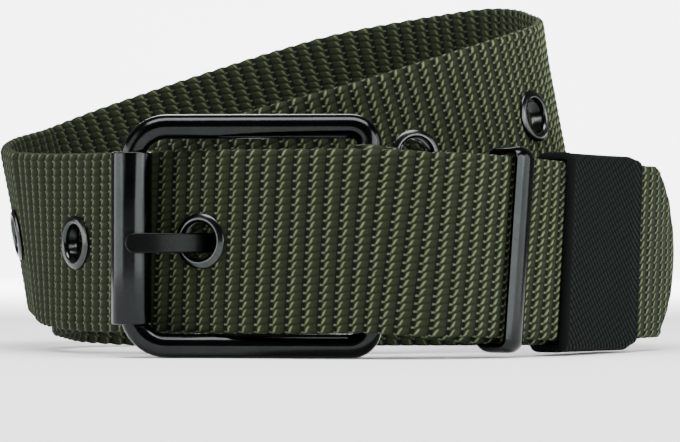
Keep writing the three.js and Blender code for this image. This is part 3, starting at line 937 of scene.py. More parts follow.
def set_attribute(made: bpy.types.Object, name: str, values: np.ndarray) -> None:
    """Stores a number on each point of a piece."""
    layer = made.data.attributes.new(name, "FLOAT", "POINT")
    layer.data.foreach_set("value", values.astype(np.float32))


def smooth(made: bpy.types.Object, sharp_deg: float) -> None:
    """Smooth shading with edges sharper than an angle kept."""
    bpy.ops.object.select_all(action="DESELECT")
    made.select_set(True)
    bpy.context.view_layer.objects.active = made
    bpy.ops.object.shade_smooth_by_angle(angle=math.radians(sharp_deg))


def dress(
    made: bpy.types.Object,
    finish: bpy.types.Material,
    slot: Slot,
    body: Body,
    *nodes: str,
) -> bpy.types.Object:
    """Gives a finished piece its material, the nodes it stands for and its body.

    Args:
        made: the piece.
        finish: its material.
        slot: the record's slot; not used.
        body: the body it rides on.
        nodes: the CAD nodes that it replaces.

    Returns:
        The piece.
    """
    made.data.materials.clear()
    made.data.materials.append(finish)
    if nodes:
        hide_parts(*nodes)
    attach(made, body.value)
    LOG.info("%s: %d faces, stands for %s", made.name, len(made.data.polygons), nodes or "none")
    return made


# Sub-assemblies


@dataclass
class WebbingStrap:
    """The strap as one closed band with ribs, rows, scalloped selvages and eyelet holes."""

    course: StrapCourse
    rib_pitch: float = 3.4
    rows: int = 23
    rib_samples: tuple[float, ...] = (0.06, 0.28, 0.43, 0.72)
    rib_height: float = 0.46
    rib_middle: float = 0.7
    edge_thickness: float = 0.45
    scallop: float = 0.16
    skew_deg: float = 5.0
    slot_half: float = 2.7
    fused_width: float = 1.1

    def build(self, finish: bpy.types.Material) -> bpy.types.Object:
        """Builds and dresses the strap.

        Args:
            finish: the webbing's material.

        Returns:
            The strap.
        """
        distance, up = self._grid()
        removed = self._cut(distance, up)
        points, uv, fused = self._surface(distance, up)
        faces = self._faces(distance.shape, removed)
        used, faces = np.unique(faces, return_inverse=True)
        faces = faces.reshape(-1, 4)
        made = mesh_piece("webbing_strap_woven", points[used], faces)
        set_uv(made, uv[used])
        set_attribute(made, "fused", fused[used])
        # reverse marks the inner skin, where the webbing's colour is dimmed as painted shade
        set_attribute(made, "reverse", (used >= len(points) // 2).astype(float))
        smooth(made, 62)
        return dress(made, finish, Slot.WEBBING, Body.BELT, "webbing_strap")

    def _outline(self, distance: np.ndarray) -> np.ndarray:
        """Half the strap's width at distances from the tip."""
        bulge = SIZES.tip_bulge
        radius = (SIZES.half_width**2 + bulge**2) / (2 * bulge)
        near = np.clip(distance, 0, bulge)
        return np.where(distance < bulge, np.sqrt(2 * radius * near - near**2), SIZES.half_width)

    def _grid(self) -> tuple[np.ndarray, np.ndarray]:
        """Distances and heights of the grid's points, skewed with the ribs."""
        bulge = SIZES.tip_bulge
        tip = bulge * (np.arange(1, 11) / 10) ** 2
        ribs = np.arange(math.ceil(bulge / self.rib_pitch), self.course.length / self.rib_pitch)
        body = (ribs[:, None] + 1 - np.array(self.rib_samples)[::-1]).ravel() * self.rib_pitch
        body = body[(body > bulge + 0.6) & (body < self.course.length - 0.4)]
        stops = np.concatenate((tip, body, [self.course.length]))
        height = np.linspace(-1, 1, 2 * self.rows + 1)
        distance = np.repeat(stops[:, None], len(height), axis=1)
        up = self._outline(distance) * height
        ends = smooth_share(distance, bulge, bulge + 14)
        ends *= 1 - smooth_share(distance, self.course.length - 14, self.course.length)
        distance = distance - up * self._skew(distance) * ends
        return distance, up

    def _skew(self, distance: np.ndarray) -> np.ndarray:
        """Slope of the ribs against the width, which fades away from the tip."""
        share = 1 - 0.6 * smooth_share(distance, 60, 170)
        return math.tan(math.radians(self.skew_deg)) * share

    def _cut(self, distance: np.ndarray, up: np.ndarray) -> np.ndarray:
        """Marks the cells inside the eyelet holes and the prong's slot, and fits the rims.

        Args:
            distance: distances of the grid's points, moved onto the rims.
            up: heights of the grid's points, moved onto the rims.

        Returns:
            One flag for each cell.
        """
        inside = np.zeros(distance.shape, dtype=bool)
        hole = SIZES.hole_radius
        for at in self.course.eyelets:
            off = distance - at
            radius = np.maximum(np.hypot(off, up), 1e-6)
            within = radius < hole
            inside |= within
            grow = np.where(within, hole / radius, 1.0)
            distance[:] = at + off * grow
            up[:] = up * grow
        removed = self._cells(inside) >= 3
        reach = SIZES.wrap_radius + 2 * SIZES.half_ply
        in_slot = (distance > self.course.wrap_from - reach) & (distance < self.course.wrap_to + reach)
        in_slot &= np.abs(up + SIZES.prong_drop) <= self.slot_half
        return removed | (self._cells(in_slot) == 4)

    @staticmethod
    def _cells(flags: np.ndarray) -> np.ndarray:
        """Number of flagged corners of each cell."""
        count = flags.astype(int)
        return count[:-1, :-1] + count[1:, :-1] + count[:-1, 1:] + count[1:, 1:]

    def _relief(self, ribs: np.ndarray, rows: np.ndarray) -> np.ndarray:
        """Height of the weave at places counted in ribs and rows."""
        across = 1 - (ribs - np.floor(ribs))
        shifted = rows - (across - 0.45) * 0.4
        up = shifted - np.floor(shifted)
        pillow = 1 - smooth_share(np.abs(up - 0.5), 0.18, 0.5)
        rib = smooth_share(across, 0.28, 0.42) * (1 - 0.6 * smooth_share(across, 0.5, 1.05))
        return self.rib_height * (rib * (0.7 + 0.3 * pillow) + 1 - self.rib_middle) - self.rib_height

    def _surface(
        self, distance: np.ndarray, up: np.ndarray
    ) -> tuple[np.ndarray, np.ndarray, np.ndarray]:
        """Points of both faces with their UV places and how far they are fused.

        Args:
            distance: distances of the grid's points.
            up: heights of the grid's points.

        Returns:
            Points in metres, UV pairs, and the fused share, for the outer face then the inner.
        """
        flat_distance, flat_up = distance.ravel(), up.ravel()
        ribs = (flat_distance + flat_up * self._skew(flat_distance)) / self.rib_pitch
        rows = (flat_up / SIZES.strap_width + 0.5) * self.rows
        half = self._outline(flat_distance)
        rim = half - np.abs(flat_up)
        past_tip = rim + 8 * (flat_distance > 9)
        fused = 1 - smooth_share(np.minimum(flat_distance, past_tip), 0.2, self.fused_width)
        end = self.course.length
        fused = np.maximum(fused, smooth_share(flat_distance, end - 0.9, end))
        calm = np.ones_like(flat_distance)
        for at in self.course.eyelets:
            off = np.hypot(flat_distance - at, flat_up)
            calm *= smooth_share(off, SIZES.eyelet_diameter / 2 - 0.3, SIZES.eyelet_diameter / 2 + 1.2)
        calm *= 0.4 + 0.6 * smooth_share(flat_distance, SIZES.tip_bulge, SIZES.elastic_from_tip)
        relief = self._relief(ribs, rows) * calm * (1 - 0.8 * fused)
        share = smooth_share(rim, 0.0, 1.1)
        scallop = self.scallop * np.cos(2 * math.pi * (ribs + 0.5)) * (1 - smooth_share(rim, 0, 1.0))
        edged = flat_up + np.sign(flat_up) * scallop * (flat_distance > SIZES.tip_bulge + 2)
        frames = self.course.frames(flat_distance)
        skin = self.edge_thickness + (SIZES.half_ply - self.edge_thickness) * share + relief * share
        outer = frames.at(edged, skin)
        inner = frames.at(edged, -skin)
        points = (np.vstack((outer, inner)) + self.course.shift) * MM
        uv = np.column_stack((ribs, rows))
        return points, np.vstack((uv, uv)), np.concatenate((fused, fused))

    @staticmethod
    def _faces(shape: tuple[int, int], removed: np.ndarray) -> np.ndarray:
        """Faces of both skins and of the walls round every edge.

        Args:
            shape: rows and columns of the grid's points.
            removed: one flag for each cell that is cut out.

        Returns:
            Four point numbers for each face.
        """
        number = np.arange(shape[0] * shape[1]).reshape(shape)
        under = number + number.size
        kept = ~removed

        def quads(a: np.ndarray, b: np.ndarray, c: np.ndarray, d: np.ndarray) -> np.ndarray:
            """Faces from four arrays of point numbers."""
            return np.column_stack((a.ravel(), b.ravel(), c.ravel(), d.ravel()))

        a, b = number[:-1, :-1][kept], number[1:, :-1][kept]
        c, d = number[1:, 1:][kept], number[:-1, 1:][kept]
        low = number.size
        parts = [quads(a, b, c, d), quads(d + low, c + low, b + low, a + low)]
        framed = np.pad(kept, 1)
        sides = (
            (framed[:-2, 1:-1], number[:-1, 1:], number[:-1, :-1]),
            (framed[2:, 1:-1], number[1:, :-1], number[1:, 1:]),
            (framed[1:-1, :-2], number[:-1, :-1], number[1:, :-1]),
            (framed[1:-1, 2:], number[1:, 1:], number[:-1, 1:]),
        )
        for beside, first, second in sides:
            open_edge = kept & ~beside
            start, stop = first[open_edge], second[open_edge]
            parts.append(quads(stop, start, start + low, stop + low))
        return np.vstack(parts)


@dataclass
class BuckleFrame:
    """The buckle's wire frame, a round wire bent into a rectangle with rounded corners."""

    seat: BuckleSeat
    wire_sides: int = 28
    corner_steps: int = 10
    side_steps: int = 6

    def build(self, shift: np.ndarray, finish: bpy.types.Material) -> bpy.types.Object:
        """Bends the wire round its four corners and dresses it.

        Args:
            shift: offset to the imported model's origin.
            finish: the metal.

        Returns:
            The frame.
        """
        near, far = SIZES.anchor_corner, SIZES.buckle_corner
        half, pitch = SIZES.buckle_height / 2, SIZES.buckle_pitch
        long = pitch - near - far
        bench = MetalBench("buckle_frame_wire")
        bench.ring(self.wire_sides, SIZES.wire_radius, (0, 0, near - half))
        runs = (
            ((0, 0, 2 * (half - near)), (near, 0, half - near)),
            ((long, 0, 0), (pitch - far, 0, half - far)),
            ((0, 0, -2 * (half - far)), (pitch - far, 0, far - half)),
            ((-long, 0, 0), (near, 0, near - half)),
        )
        for move, centre in runs:
            for _ in range(self.side_steps):
                bench.extrude(tuple(part / self.side_steps for part in move))
            bench.spin(self.corner_steps, 90, centre, (0, 1, 0))
        made = bench.finish(self.seat.matrix(shift))
        return dress(made, finish, Slot.GUNMETAL, Body.BELT, "buckle_frame")


@dataclass
class BuckleRoller:
    """The tube that turns on the buckle's bar, with rolled-in ends."""

    seat: BuckleSeat
    lip: float = 0.34
    sides: int = 56

    def build(self, shift: np.ndarray, finish: bpy.types.Material) -> bpy.types.Object:
        """Turns the tube and dresses it."""
        half, radius = SIZES.roller_length / 2, SIZES.roller_radius
        bore = radius - SIZES.roller_wall
        lip = self.lip
        quarter = [math.radians(angle) for angle in (0, 22, 45, 68, 90)]
        top = [(radius - lip + lip * math.cos(a), half - lip + lip * math.sin(a)) for a in quarter]
        low = [(r, -z) for r, z in reversed(top)]
        waist = [(radius, -half / 3), (radius, half / 3)]
        ease = 0.12
        foot = ((bore, -half + ease), (bore + ease, -half))
        head = ((bore + ease, half), (bore, half - ease))
        profile = (*foot, *low, *waist, *top, *head)
        bench = turned("buckle_roller_tube", profile, self.sides)
        bar = Matrix.Translation((SIZES.buckle_pitch * MM, 0, 0))
        place = self.seat.matrix(shift, SIZES.roller_drop) @ bar
        return dress(bench.finish(place), finish, Slot.GUNMETAL, Body.ROLLER, "buckle_roller")


@dataclass
class BuckleProng:
    """The prong, a flat bar bent over the roller, with an eye on the anchor bar."""

    seat: BuckleSeat
    steps: int = 26
    edge: float = 0.6
    nose_steps: int = 6

    def build(self, shift: np.ndarray, finish: bpy.types.Material) -> bpy.types.Object:
        """Draws the bar along its bend, rounds its nose and edges, and joins its eye."""
        places, headings = self._bend()
        bench = self._bar(places, headings)
        placement = self.seat.matrix(shift, SIZES.prong_drop)
        made = bench.finish(placement, 50)
        self._round_edges(made)
        eye = self._eye().finish(placement)
        join = made.modifiers.new("eye", "BOOLEAN")
        join.object, join.operation, join.solver = eye, "UNION", "EXACT"
        bpy.context.view_layer.objects.active = made
        bpy.ops.object.modifier_apply(modifier=join.name)
        bpy.data.objects.remove(eye)
        smooth(made, 40)
        return dress(made, finish, Slot.GUNMETAL, Body.BELT, "buckle_prong")

    def _bend(self) -> tuple[np.ndarray, np.ndarray]:
        """Points of the bar's middle line in the buckle's plan, and headings in degrees."""
        places = self.seat.prong_line().evenly(self.steps, SIZES.prong_width / 2)
        steps = np.diff(places, axis=0)
        return places, np.degrees(np.arctan2(steps[:, 1], steps[:, 0]))

    def _bar(self, places: np.ndarray, headings: np.ndarray) -> MetalBench:
        """Extrudes the bar's section from step to step, turning it as the bar bends."""
        wide, thick = SIZES.prong_width / 2, SIZES.prong_thickness / 2
        bench = MetalBench("buckle_prong_bar")
        bench.ring(4, math.sqrt(2), (0, 0, 0), (math.pi / 4, 0, 0))
        bpy.ops.object.mode_set(mode="OBJECT")
        start = places[0]
        heading = math.radians(headings[0])
        for vertex, (side, up) in zip(bench.made.data.vertices, ((-1, -1), (1, -1), (1, 1), (-1, 1))):
            off = side * thick
            x = start[0] - off * math.sin(heading)
            y = start[1] + off * math.cos(heading)
            vertex.co = (x, y, up * wide)
        bpy.ops.object.mode_set(mode="EDIT")
        bpy.ops.mesh.select_all(action="SELECT")
        bpy.ops.mesh.edge_face_add()
        turn = headings[0]
        for step in range(1, len(places)):
            move = places[step] - places[step - 1]
            bench.extrude((move[0], move[1], 0))
            bound = headings[min(step, len(headings) - 1)]
            heading_here = (headings[step - 1] + bound) / 2
            bench.turn(heading_here - turn, (places[step][0], places[step][1], 0))
            turn = heading_here
        self._nose(bench, places[-1], turn)
        return bench

    def _nose(self, bench: MetalBench, tip: np.ndarray, heading: float) -> None:
        """Rounds the free end in steps that narrow like a half circle."""
        radius = SIZES.prong_width / 2
        ahead = math.radians(heading)
        reached, width = 0.0, 1.0
        for step in range(1, self.nose_steps + 1):
            angle = math.radians(84 * step / self.nose_steps)
            move = radius * math.sin(angle) - reached
            reached += move
            bench.extrude((move * math.cos(ahead), move * math.sin(ahead), 0))
            share = math.cos(angle) / width
            width = math.cos(angle)
            middle = (tip[0] + reached * math.cos(ahead), tip[1] + reached * math.sin(ahead), 0)
            flat = 1 - 0.35 * (step / self.nose_steps) ** 3
            bench.resize((flat ** 0.5, flat ** 0.5, share), middle)

    def _round_edges(self, made: bpy.types.Object) -> None:
        """Bevels the bar's long edges."""
        bevel = made.modifiers.new("edges", "BEVEL")
        bevel.width, bevel.segments, bevel.limit_method = self.edge * MM, 3, "ANGLE"
        bevel.angle_limit = math.radians(50)
        bpy.context.view_layer.objects.active = made
        bpy.ops.object.modifier_apply(modifier=bevel.name)

    @staticmethod
    def _eye() -> MetalBench:
        """The eye that turns on the anchor bar."""
        inner, outer = SIZES.wire_radius + SIZES.fit, SIZES.wrap_radius + SIZES.half_ply - SIZES.fit
        half, ease = SIZES.prong_width / 2, 0.3
        profile = (
            (inner, -half + ease), (inner + ease, -half), (outer - ease, -half), (outer, -half + ease),
            (outer, half - ease), (outer - ease, half), (inner + ease, half), (inner, half - ease),
        )
        return turned("buckle_prong_eye", profile, 32)


class PlanCurve:
    """A smooth line through points of the buckle's plan."""

    def __init__(self, points: np.ndarray) -> None:
        """Samples the line finely.

        Args:
            points: the points it passes through, one a row.
        """
        padded = np.vstack((2 * points[0] - points[1], points, 2 * points[-1] - points[-2]))
        samples = []
        for index in range(len(points) - 1):
            p0, p1, p2, p3 = padded[index : index + 4]
            d0, d1, d2 = (np.linalg.norm(b - a) ** 0.5 for a, b in ((p0, p1), (p1, p2), (p2, p3)))
            t1 = ((p1 - p0) / d0 - (p2 - p0) / (d0 + d1) + (p2 - p1) / d1) * d1
            t2 = ((p2 - p1) / d1 - (p3 - p1) / (d1 + d2) + (p3 - p2) / d2) * d1
            for w in np.arange(0, 1, 0.025):
                bend = 3 * (p2 - p1) - 2 * t1 - t2
                twist = 2 * (p1 - p2) + t1 + t2
                samples.append(p1 + t1 * w + bend * w**2 + twist * w**3)
        samples.append(points[-1])
        self.samples = np.array(samples)
        steps = np.linalg.norm(np.diff(self.samples, axis=0), axis=1)
        self.lengths = np.concatenate(([0.0], np.cumsum(steps)))

    def evenly(self, steps: int, spare: float) -> np.ndarray:
        """Points at equal steps along the line, up to a spare length before its end."""
        places = np.linspace(0, self.lengths[-1] - spare, steps + 1)
        return np.column_stack([np.interp(places, self.lengths, self.samples[:, k]) for k in range(2)])


@dataclass
class Eyelets:
    """The row of two-sided metal eyelets with rolled rims."""

    course: StrapCourse
    sides: int = 40
    barrel: float = 0.3

    def build(self, finish: bpy.types.Material) -> list[bpy.types.Object]:
        """Turns one eyelet and sets a copy on each of its places.

        Args:
            finish: the metal.

        Returns:
            The eyelets in order from the tip.
        """
        pattern = turned("eyelet_pattern", self._profile(), self.sides).finish(Matrix.Identity(4), 50)
        frames = self.course.eyelet_frames()
        stand = Matrix.Rotation(-math.pi / 2, 4, "X")
        made = []
        for row in range(SIZES.eyelet_count):
            node = f"eyelet_{row + 1:02d}"
            copy = bpy.data.objects.new(f"{node}_rolled", pattern.data.copy())
            bpy.context.scene.collection.objects.link(copy)
            copy.data.transform(frames.matrix(row, self.course.shift) @ stand)
            made.append(dress(copy, finish, Slot.EYELET, Body.BELT, node))
        bpy.data.objects.remove(pattern)
        return made

    def _profile(self) -> tuple[tuple[float, float], ...]:
        """Radius and height round the eyelet's section, both flanges in one."""
        bore, outer = SIZES.eyelet_bore / 2, SIZES.eyelet_diameter / 2
        seat, flange = SIZES.half_ply + SIZES.fit, SIZES.eyelet_flange
        crown = seat + flange
        top = [
            (bore, 0.55 * seat), (bore + 0.06, seat + 0.25 * flange),
            (bore + 0.22, seat + 0.62 * flange),
            (bore + 0.48, crown - 0.07), (bore + 0.78, crown), (bore + 1.1, crown - 0.06),
            (outer - 0.5, seat + 0.66 * flange), (outer - 0.18, seat + 0.45 * flange),
            (outer - 0.02, seat + 0.22 * flange), (outer - 0.06, seat - 0.02),
            (outer - 0.3, seat - 0.1),
            (bore + self.barrel + 0.3, seat - 0.1), (bore + self.barrel, seat - 0.35),
        ]
        return (*top, *[(radius, -height) for radius, height in reversed(top)])


@dataclass
class MetalKeeper:
    """The wire keeper, a flattened wire bent round both plies, tilted with the ribs."""

    course: StrapCourse
    section_sides: int = 28
    flatness: float = 2.3
    corner: float = 1.9
    corner_steps: int = 8
    side_steps: int = 8

    def build(self, finish: bpy.types.Material) -> bpy.types.Object:
        """Bends the keeper and dresses it."""
        wall = SIZES.keeper_wall
        room_out = SIZES.half_ply + SIZES.sleeve_play + wall / 2
        room_in = -(SIZES.ply_pitch + SIZES.half_ply + SIZES.sleeve_play) - wall / 2
        top = SIZES.half_width + SIZES.sleeve_play + wall / 2
        bottom = -top - SIZES.keeper_drop
        radius = self.corner
        tall, deep = top - bottom - 2 * radius, room_out - room_in - 2 * radius
        bench = MetalBench("metal_keeper_wire")
        start = (0, room_out, bottom + radius)
        bench.ring(self.section_sides, 1.0, start)
        bench.resize((SIZES.keeper_width / 2, wall / 2, 1), start)
        self._flatten_inside(bench, room_out)
        runs = (
            ((0, 0, tall), (0, room_out - radius, top - radius)),
            ((0, -deep, 0), (0, room_in + radius, top - radius)),
            ((0, 0, -tall), (0, room_in + radius, bottom + radius)),
            ((0, deep, 0), (0, room_out - radius, bottom + radius)),
        )
        for move, centre in runs:
            for _ in range(self.side_steps):
                bench.extrude(tuple(part / self.side_steps for part in move))
            bench.spin(self.corner_steps, 90, centre, (1, 0, 0))
        frames = self.course.bent(np.array([SIZES.keeper_from_tip]))
        tilt = Matrix.Rotation(math.radians(-SIZES.keeper_tilt_deg), 4, "Y")
        made = bench.finish(frames.matrix(0, self.course.shift) @ tilt)
        return dress(made, finish, Slot.GUNMETAL, Body.BELT, "metal_keeper")

    def _flatten_inside(self, bench: MetalBench, room_out: float) -> None:
        """Gives the wire a flatter inside and a domed outside."""
        bpy.ops.object.mode_set(mode="OBJECT")
        for vertex in bench.made.data.vertices:
            off = vertex.co.y - room_out
            share = abs(vertex.co.x) / (SIZES.keeper_width / 2)
            half = SIZES.keeper_wall / 2
            if off < 0:
                vertex.co.y = room_out - half * min(1.0, (-off / half) * 2.2) * 0.96
            else:
                vertex.co.y = room_out + half * (1 - share**self.flatness)
            vertex.select = True
        bpy.ops.object.mode_set(mode="EDIT")
        bpy.ops.mesh.select_all(action="SELECT")


@dataclass
class ElasticKeeper:
    """The elastic band round both plies, a woven tube with plain selvages."""

    course: StrapCourse
    steps: int = 60
    corner: float = 1.5
    corner_steps: int = 7
    side_steps: int = 44
    selvage: float = 1.6
    pinch: float = 1.0
    thinning: float = 0.6

    def build(self, finish: bpy.types.Material) -> bpy.types.Object:
        """Builds the band's two skins and dresses it.

        Args:
            finish: the elastic's material.

        Returns:
            The band.
        """
        outside = [self._loop(step, True) for step in range(self.steps + 1)]
        inside = [self._loop(step, False) for step in range(self.steps, -1, -1)]
        rings = [*outside, *inside]
        count, sides = len(rings), len(rings[0][0])
        points = np.vstack([ring[0] for ring in rings]) * MM
        uv = np.vstack([ring[1] for ring in rings])
        selvage = np.concatenate([ring[2] for ring in rings])
        ring_number = np.arange(count)[:, None] * sides
        side = np.arange(sides)[None, :]
        following = (np.arange(1, count + 1) % count)[:, None] * sides
        beside = (side + 1) % sides
        faces = np.stack(
            (ring_number + side, ring_number + beside, following + beside, following + side), axis=2
        ).reshape(-1, 4)
        made = mesh_piece("elastic_keeper_band", points, faces)
        set_uv(made, uv)
        set_attribute(made, "selvage", selvage)
        smooth(made, 50)
        return dress(made, finish, Slot.ELASTIC, Body.BELT, "elastic_keeper")

    def _loop(self, step: int, outer: bool) -> tuple[np.ndarray, np.ndarray, np.ndarray]:
        """One loop round the band.

        Args:
            step: which step along the band, from the tip's side.
            outer: the outside skin instead of the inside one.

        Returns:
            Points in millimetres, UV pairs in millimetres, and the selvage share.
        """
        side = 2 * step / self.steps - 1
        half = SIZES.elastic_width / 2
        rim = half * (1 - abs(side))
        wall = SIZES.elastic_wall * (1 - 0.45 * (1 - min(1.0, rim / 0.9)) ** 2) if outer else 0.0
        wall += 0.18 * math.exp(-(((rim - 0.8) / 0.6) ** 2)) if outer else 0.0
        draw = max(0.0, -side - 0.72) / 0.28
        pinch = self.pinch * draw
        wall -= self.thinning * draw if outer else 0.0
        across, up = self._section(wall, pinch)
        tilt = math.tan(math.radians(SIZES.elastic_tilt_deg))
        distance = SIZES.elastic_from_tip + side * half - up * tilt
        frames = self.course.bent(distance)
        points = frames.at(up, across) + self.course.shift
        girth = np.concatenate(([0.0], np.cumsum(np.hypot(np.diff(across), np.diff(up)))))
        uv = np.column_stack((np.full_like(girth, side * half), girth))
        share = 1 - float(smooth_share(np.array([rim]), self.selvage - 0.3, self.selvage)[0])
        return points, uv, np.full(len(girth), share)

    def _section(self, wall: float, pinch: float) -> tuple[np.ndarray, np.ndarray]:
        """Offsets outwards and up the width round the band's section."""
        play = SIZES.sleeve_play
        out = SIZES.half_ply + play + wall
        back = -(SIZES.ply_pitch + SIZES.half_ply + play) - wall
        top = SIZES.half_width + play + wall - 0.4 * pinch
        low = -SIZES.half_width - play - SIZES.elastic_drop - wall + pinch
        radius = 2 * SIZES.fit + wall * (self.corner / SIZES.elastic_wall)
        corners = (
            (out - radius, low + radius, -90), (out - radius, top - radius, 0),
            (back + radius, top - radius, 90), (back + radius, low + radius, 180),
        )
        across, up = [], []
        for index, (x, z, start) in enumerate(corners):
            for turn in np.radians(np.linspace(start, start + 90, self.corner_steps)):
                across.append(x + radius * math.cos(turn))
                up.append(z + radius * math.sin(turn))
            following = corners[(index + 1) % 4]
            if index in (0, 2):
                end = following[1]
                x_side = across[-1]
                for share in np.linspace(0, 1, self.side_steps + 2)[1:-1]:
                    across.append(x_side)
                    up.append(z + (end - z) * share)
        return np.array(across), np.array(up)


@dataclass
class FoldStitching:
    """Two rows of stitches that hold the strap's folded end behind the buckle."""

    course: StrapCourse
    rows_from_end: tuple[float, ...] = (5.0, 9.0)
    stitches: int = 11
    stitch_length: float = 2.3
    thread: float = 0.42

    def build(self, finish: bpy.types.Material) -> bpy.types.Object:
        """Makes one stitch, copies it along both rows and joins the copies."""
        pattern = self._stitch()
        pitch = SIZES.strap_width / (self.stitches + 1)
        copies = []
        for row in self.rows_from_end:
            for index in range(self.stitches):
                up = (index - (self.stitches - 1) / 2) * pitch
                frames = self.course.frames(np.array([self.course.length - row]))
                copy = bpy.data.objects.new("stitch", pattern.data.copy())
                bpy.context.scene.collection.objects.link(copy)
                place = frames.matrix(0, self.course.shift)
                off = Matrix.Translation((0, (SIZES.half_ply + 0.02) * MM, up * MM))
                copy.data.transform(place @ off)
                copies.append(copy)
        bpy.data.objects.remove(pattern)
        bpy.ops.object.select_all(action="DESELECT")
        for copy in copies:
            copy.select_set(True)
        bpy.context.view_layer.objects.active = copies[0]
        bpy.ops.object.join()
        made = bpy.context.object
        made.name = "fold_stitching"
        smooth(made, 60)
        return dress(made, finish, Slot.WEBBING, Body.BELT)

    def _stitch(self) -> bpy.types.Object:
        """A stitch: a short thread that dips into the cloth at both ends."""
        bench = MetalBench("stitch_pattern")
        half, radius = self.stitch_length / 2, self.thread / 2
        bench.ring(8, radius * 0.5, (0, -0.3, -half))
        rows = ((0.0, 0.55, 2.0), (0.22, 0.7, 1.0), (0.0, 1.1, 1.0), (-0.22, 0.7, 0.5))
        middle = -0.3
        height = -half
        for rise, run, share in rows:
            bench.extrude((0, rise, run * half * 2 / 3.05))
            middle += rise
            height += run * half * 2 / 3.05
            bench.resize((share, share, 1), (0, middle, height))
        bpy.ops.mesh.edge_face_add()
        bpy.ops.object.mode_set(mode="OBJECT")
        low = min(vertex.co.z for vertex in bench.made.data.vertices)
        for vertex in bench.made.data.vertices:
            vertex.select = vertex.co.z < low + 1e-4
        bpy.ops.object.mode_set(mode="EDIT")
        bpy.ops.mesh.edge_face_add()
        return bench.finish(Matrix.Identity(4), 60)


# Studio


@dataclass(frozen=True)
class SoftBox:
    """A rectangular studio light that points at the belt."""

    name: str
    place: Point
    width: float
    height: float
    watts: float
    aim: Point = (0.0, -0.03, 0.03)
    tint: tuple[float, float, float] = (1.0, 1.0, 1.0)

    def light(self) -> None:
        """Adds the light."""
        data = bpy.data.lights.new(self.name, "AREA")
        data.shape, data.size, data.size_y = "RECTANGLE", self.width, self.height
        data.energy, data.color = self.watts, self.tint
        made = bpy.data.objects.new(self.name, data)
        made.location = self.place
        toward = Vector(self.aim) - Vector(self.place)
        made.rotation_euler = toward.to_track_quat("-Z", "Z").to_euler()
        bpy.context.scene.collection.objects.link(made)


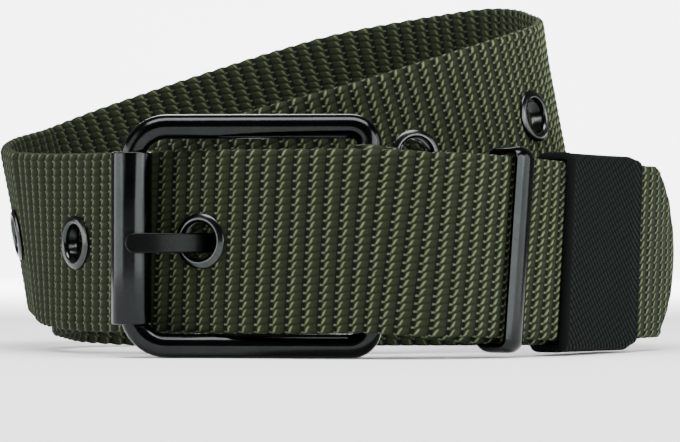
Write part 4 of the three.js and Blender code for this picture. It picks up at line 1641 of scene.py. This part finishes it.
@dataclass
class Studio:
    """The camera, the white paper sweep and the lights."""

    eye: Point = (0.00095, -0.7812, 0.0236)
    lens: float = 184.3
    horizon_shift: float = 24.0
    paper_width: float = 0.9
    boxes: tuple[SoftBox, ...] = field(
        default=(
            SoftBox("left_box", (-1.0, -0.2, 0.1), 0.55, 1.2, 14.0),
            SoftBox("left_fill", (-0.85, -0.62, 0.35), 0.5, 0.7, 2.5),
            SoftBox("right_box", (0.72, -0.77, 0.1), 0.62, 1.3, 21.0),
            SoftBox("side_right", (1.09, -0.15, 0.2), 0.72, 0.8, 8.0),
            SoftBox("overhead", (0.0, -0.28, 1.0), 1.3, 0.5, 32.0),
            SoftBox("paper_wash", (0.0, 0.9, 1.0), 2.2, 0.5, 215.0, (0.0, 2.1, 0.3)),
        )
    )

    def build(self) -> None:
        """Sets up the studio."""
        self._camera()
        self._sweep()
        for box in self.boxes:
            box.light()
        self._world()

    def _camera(self) -> None:
        """Adds the camera, level, with the horizon below the picture's middle."""
        data = bpy.data.cameras.new("camera")
        data.lens, data.sensor_width = self.lens, 36.0
        data.shift_y = self.horizon_shift / IMAGE_WIDTH
        data.clip_start, data.clip_end = 0.01, 20.0
        made = bpy.data.objects.new("camera", data)
        made.location = self.eye
        made.rotation_euler = (math.pi / 2, 0, 0)
        bpy.context.scene.collection.objects.link(made)
        bpy.context.scene.camera = made

    def _sweep(self) -> None:
        """Adds the paper: a floor that curves up behind the belt."""
        bpy.ops.object.select_all(action="DESELECT")
        bpy.ops.mesh.primitive_plane_add(size=1, location=(0, 0, 0))
        paper = bpy.context.object
        paper.name = "paper_sweep"
        paper.data.transform(Matrix.Diagonal((self.paper_width, 3.6, 1.0, 1.0)))
        bpy.ops.object.mode_set(mode="EDIT")
        bpy.ops.mesh.select_mode(type="EDGE")
        bpy.ops.mesh.select_all(action="DESELECT")
        bpy.ops.object.mode_set(mode="OBJECT")
        for edge in paper.data.edges:
            ends = [paper.data.vertices[index].co.y for index in edge.vertices]
            edge.select = min(ends) > 1.0
        bpy.ops.object.mode_set(mode="EDIT")
        bpy.ops.mesh.spin(steps=16, angle=math.pi / 2, center=(0, 1.8, 0.8), axis=(-1, 0, 0))
        bpy.ops.mesh.extrude_region_move(TRANSFORM_OT_translate={"value": (0, 0, 1.6)})
        bpy.ops.mesh.select_all(action="SELECT")
        bpy.ops.mesh.normals_make_consistent(inside=False)
        bpy.ops.object.mode_set(mode="OBJECT")
        bpy.ops.object.shade_smooth()
        paper.data.materials.append(PaperFinish().make())

    @staticmethod
    def _world() -> None:
        """Gives the room a low even grey."""
        world = bpy.data.worlds.new("room")
        bpy.context.scene.world = world
        world.use_nodes = True
        ground = world.node_tree.nodes["Background"]
        ground.inputs["Color"].default_value = (0.9, 0.93, 0.95, 1)
        ground.inputs["Strength"].default_value = 0.15


# Main


def main() -> None:
    """Builds the studio and every sub-assembly in order."""
    logging.basicConfig(level=logging.INFO, format="%(name)s: %(message)s")
    Studio().build()
    seat = BuckleSeat()
    course = StrapCourse(seat)
    LOG.info("strap %.1f mm long, shift %s", course.length, course.shift.round(3))
    gunmetal = GunmetalFinish().make()
    eyelet_metal = GunmetalFinish(
        "eyelet_gunmetal", (0.027, 0.031, 0.03, 1), (0.07, 0.076, 0.073, 1), 0.17, 0.12
    ).make()
    prong_metal = GunmetalFinish(
        "prong_gunmetal", (0.005, 0.0056, 0.0054, 1), (0.016, 0.018, 0.017, 1), 0.26, 0.1
    ).make()
    WebbingStrap(course).build(WebbingFinish().make())
    BuckleFrame(seat).build(course.shift, gunmetal)
    BuckleRoller(seat).build(course.shift, gunmetal)
    BuckleProng(seat).build(course.shift, prong_metal)
    Eyelets(course).build(eyelet_metal)
    MetalKeeper(course).build(gunmetal)
    ElasticKeeper(course).build(ElasticFinish().make())
    FoldStitching(course).build(ThreadFinish().make())


if __name__ == "__main__":
    main()
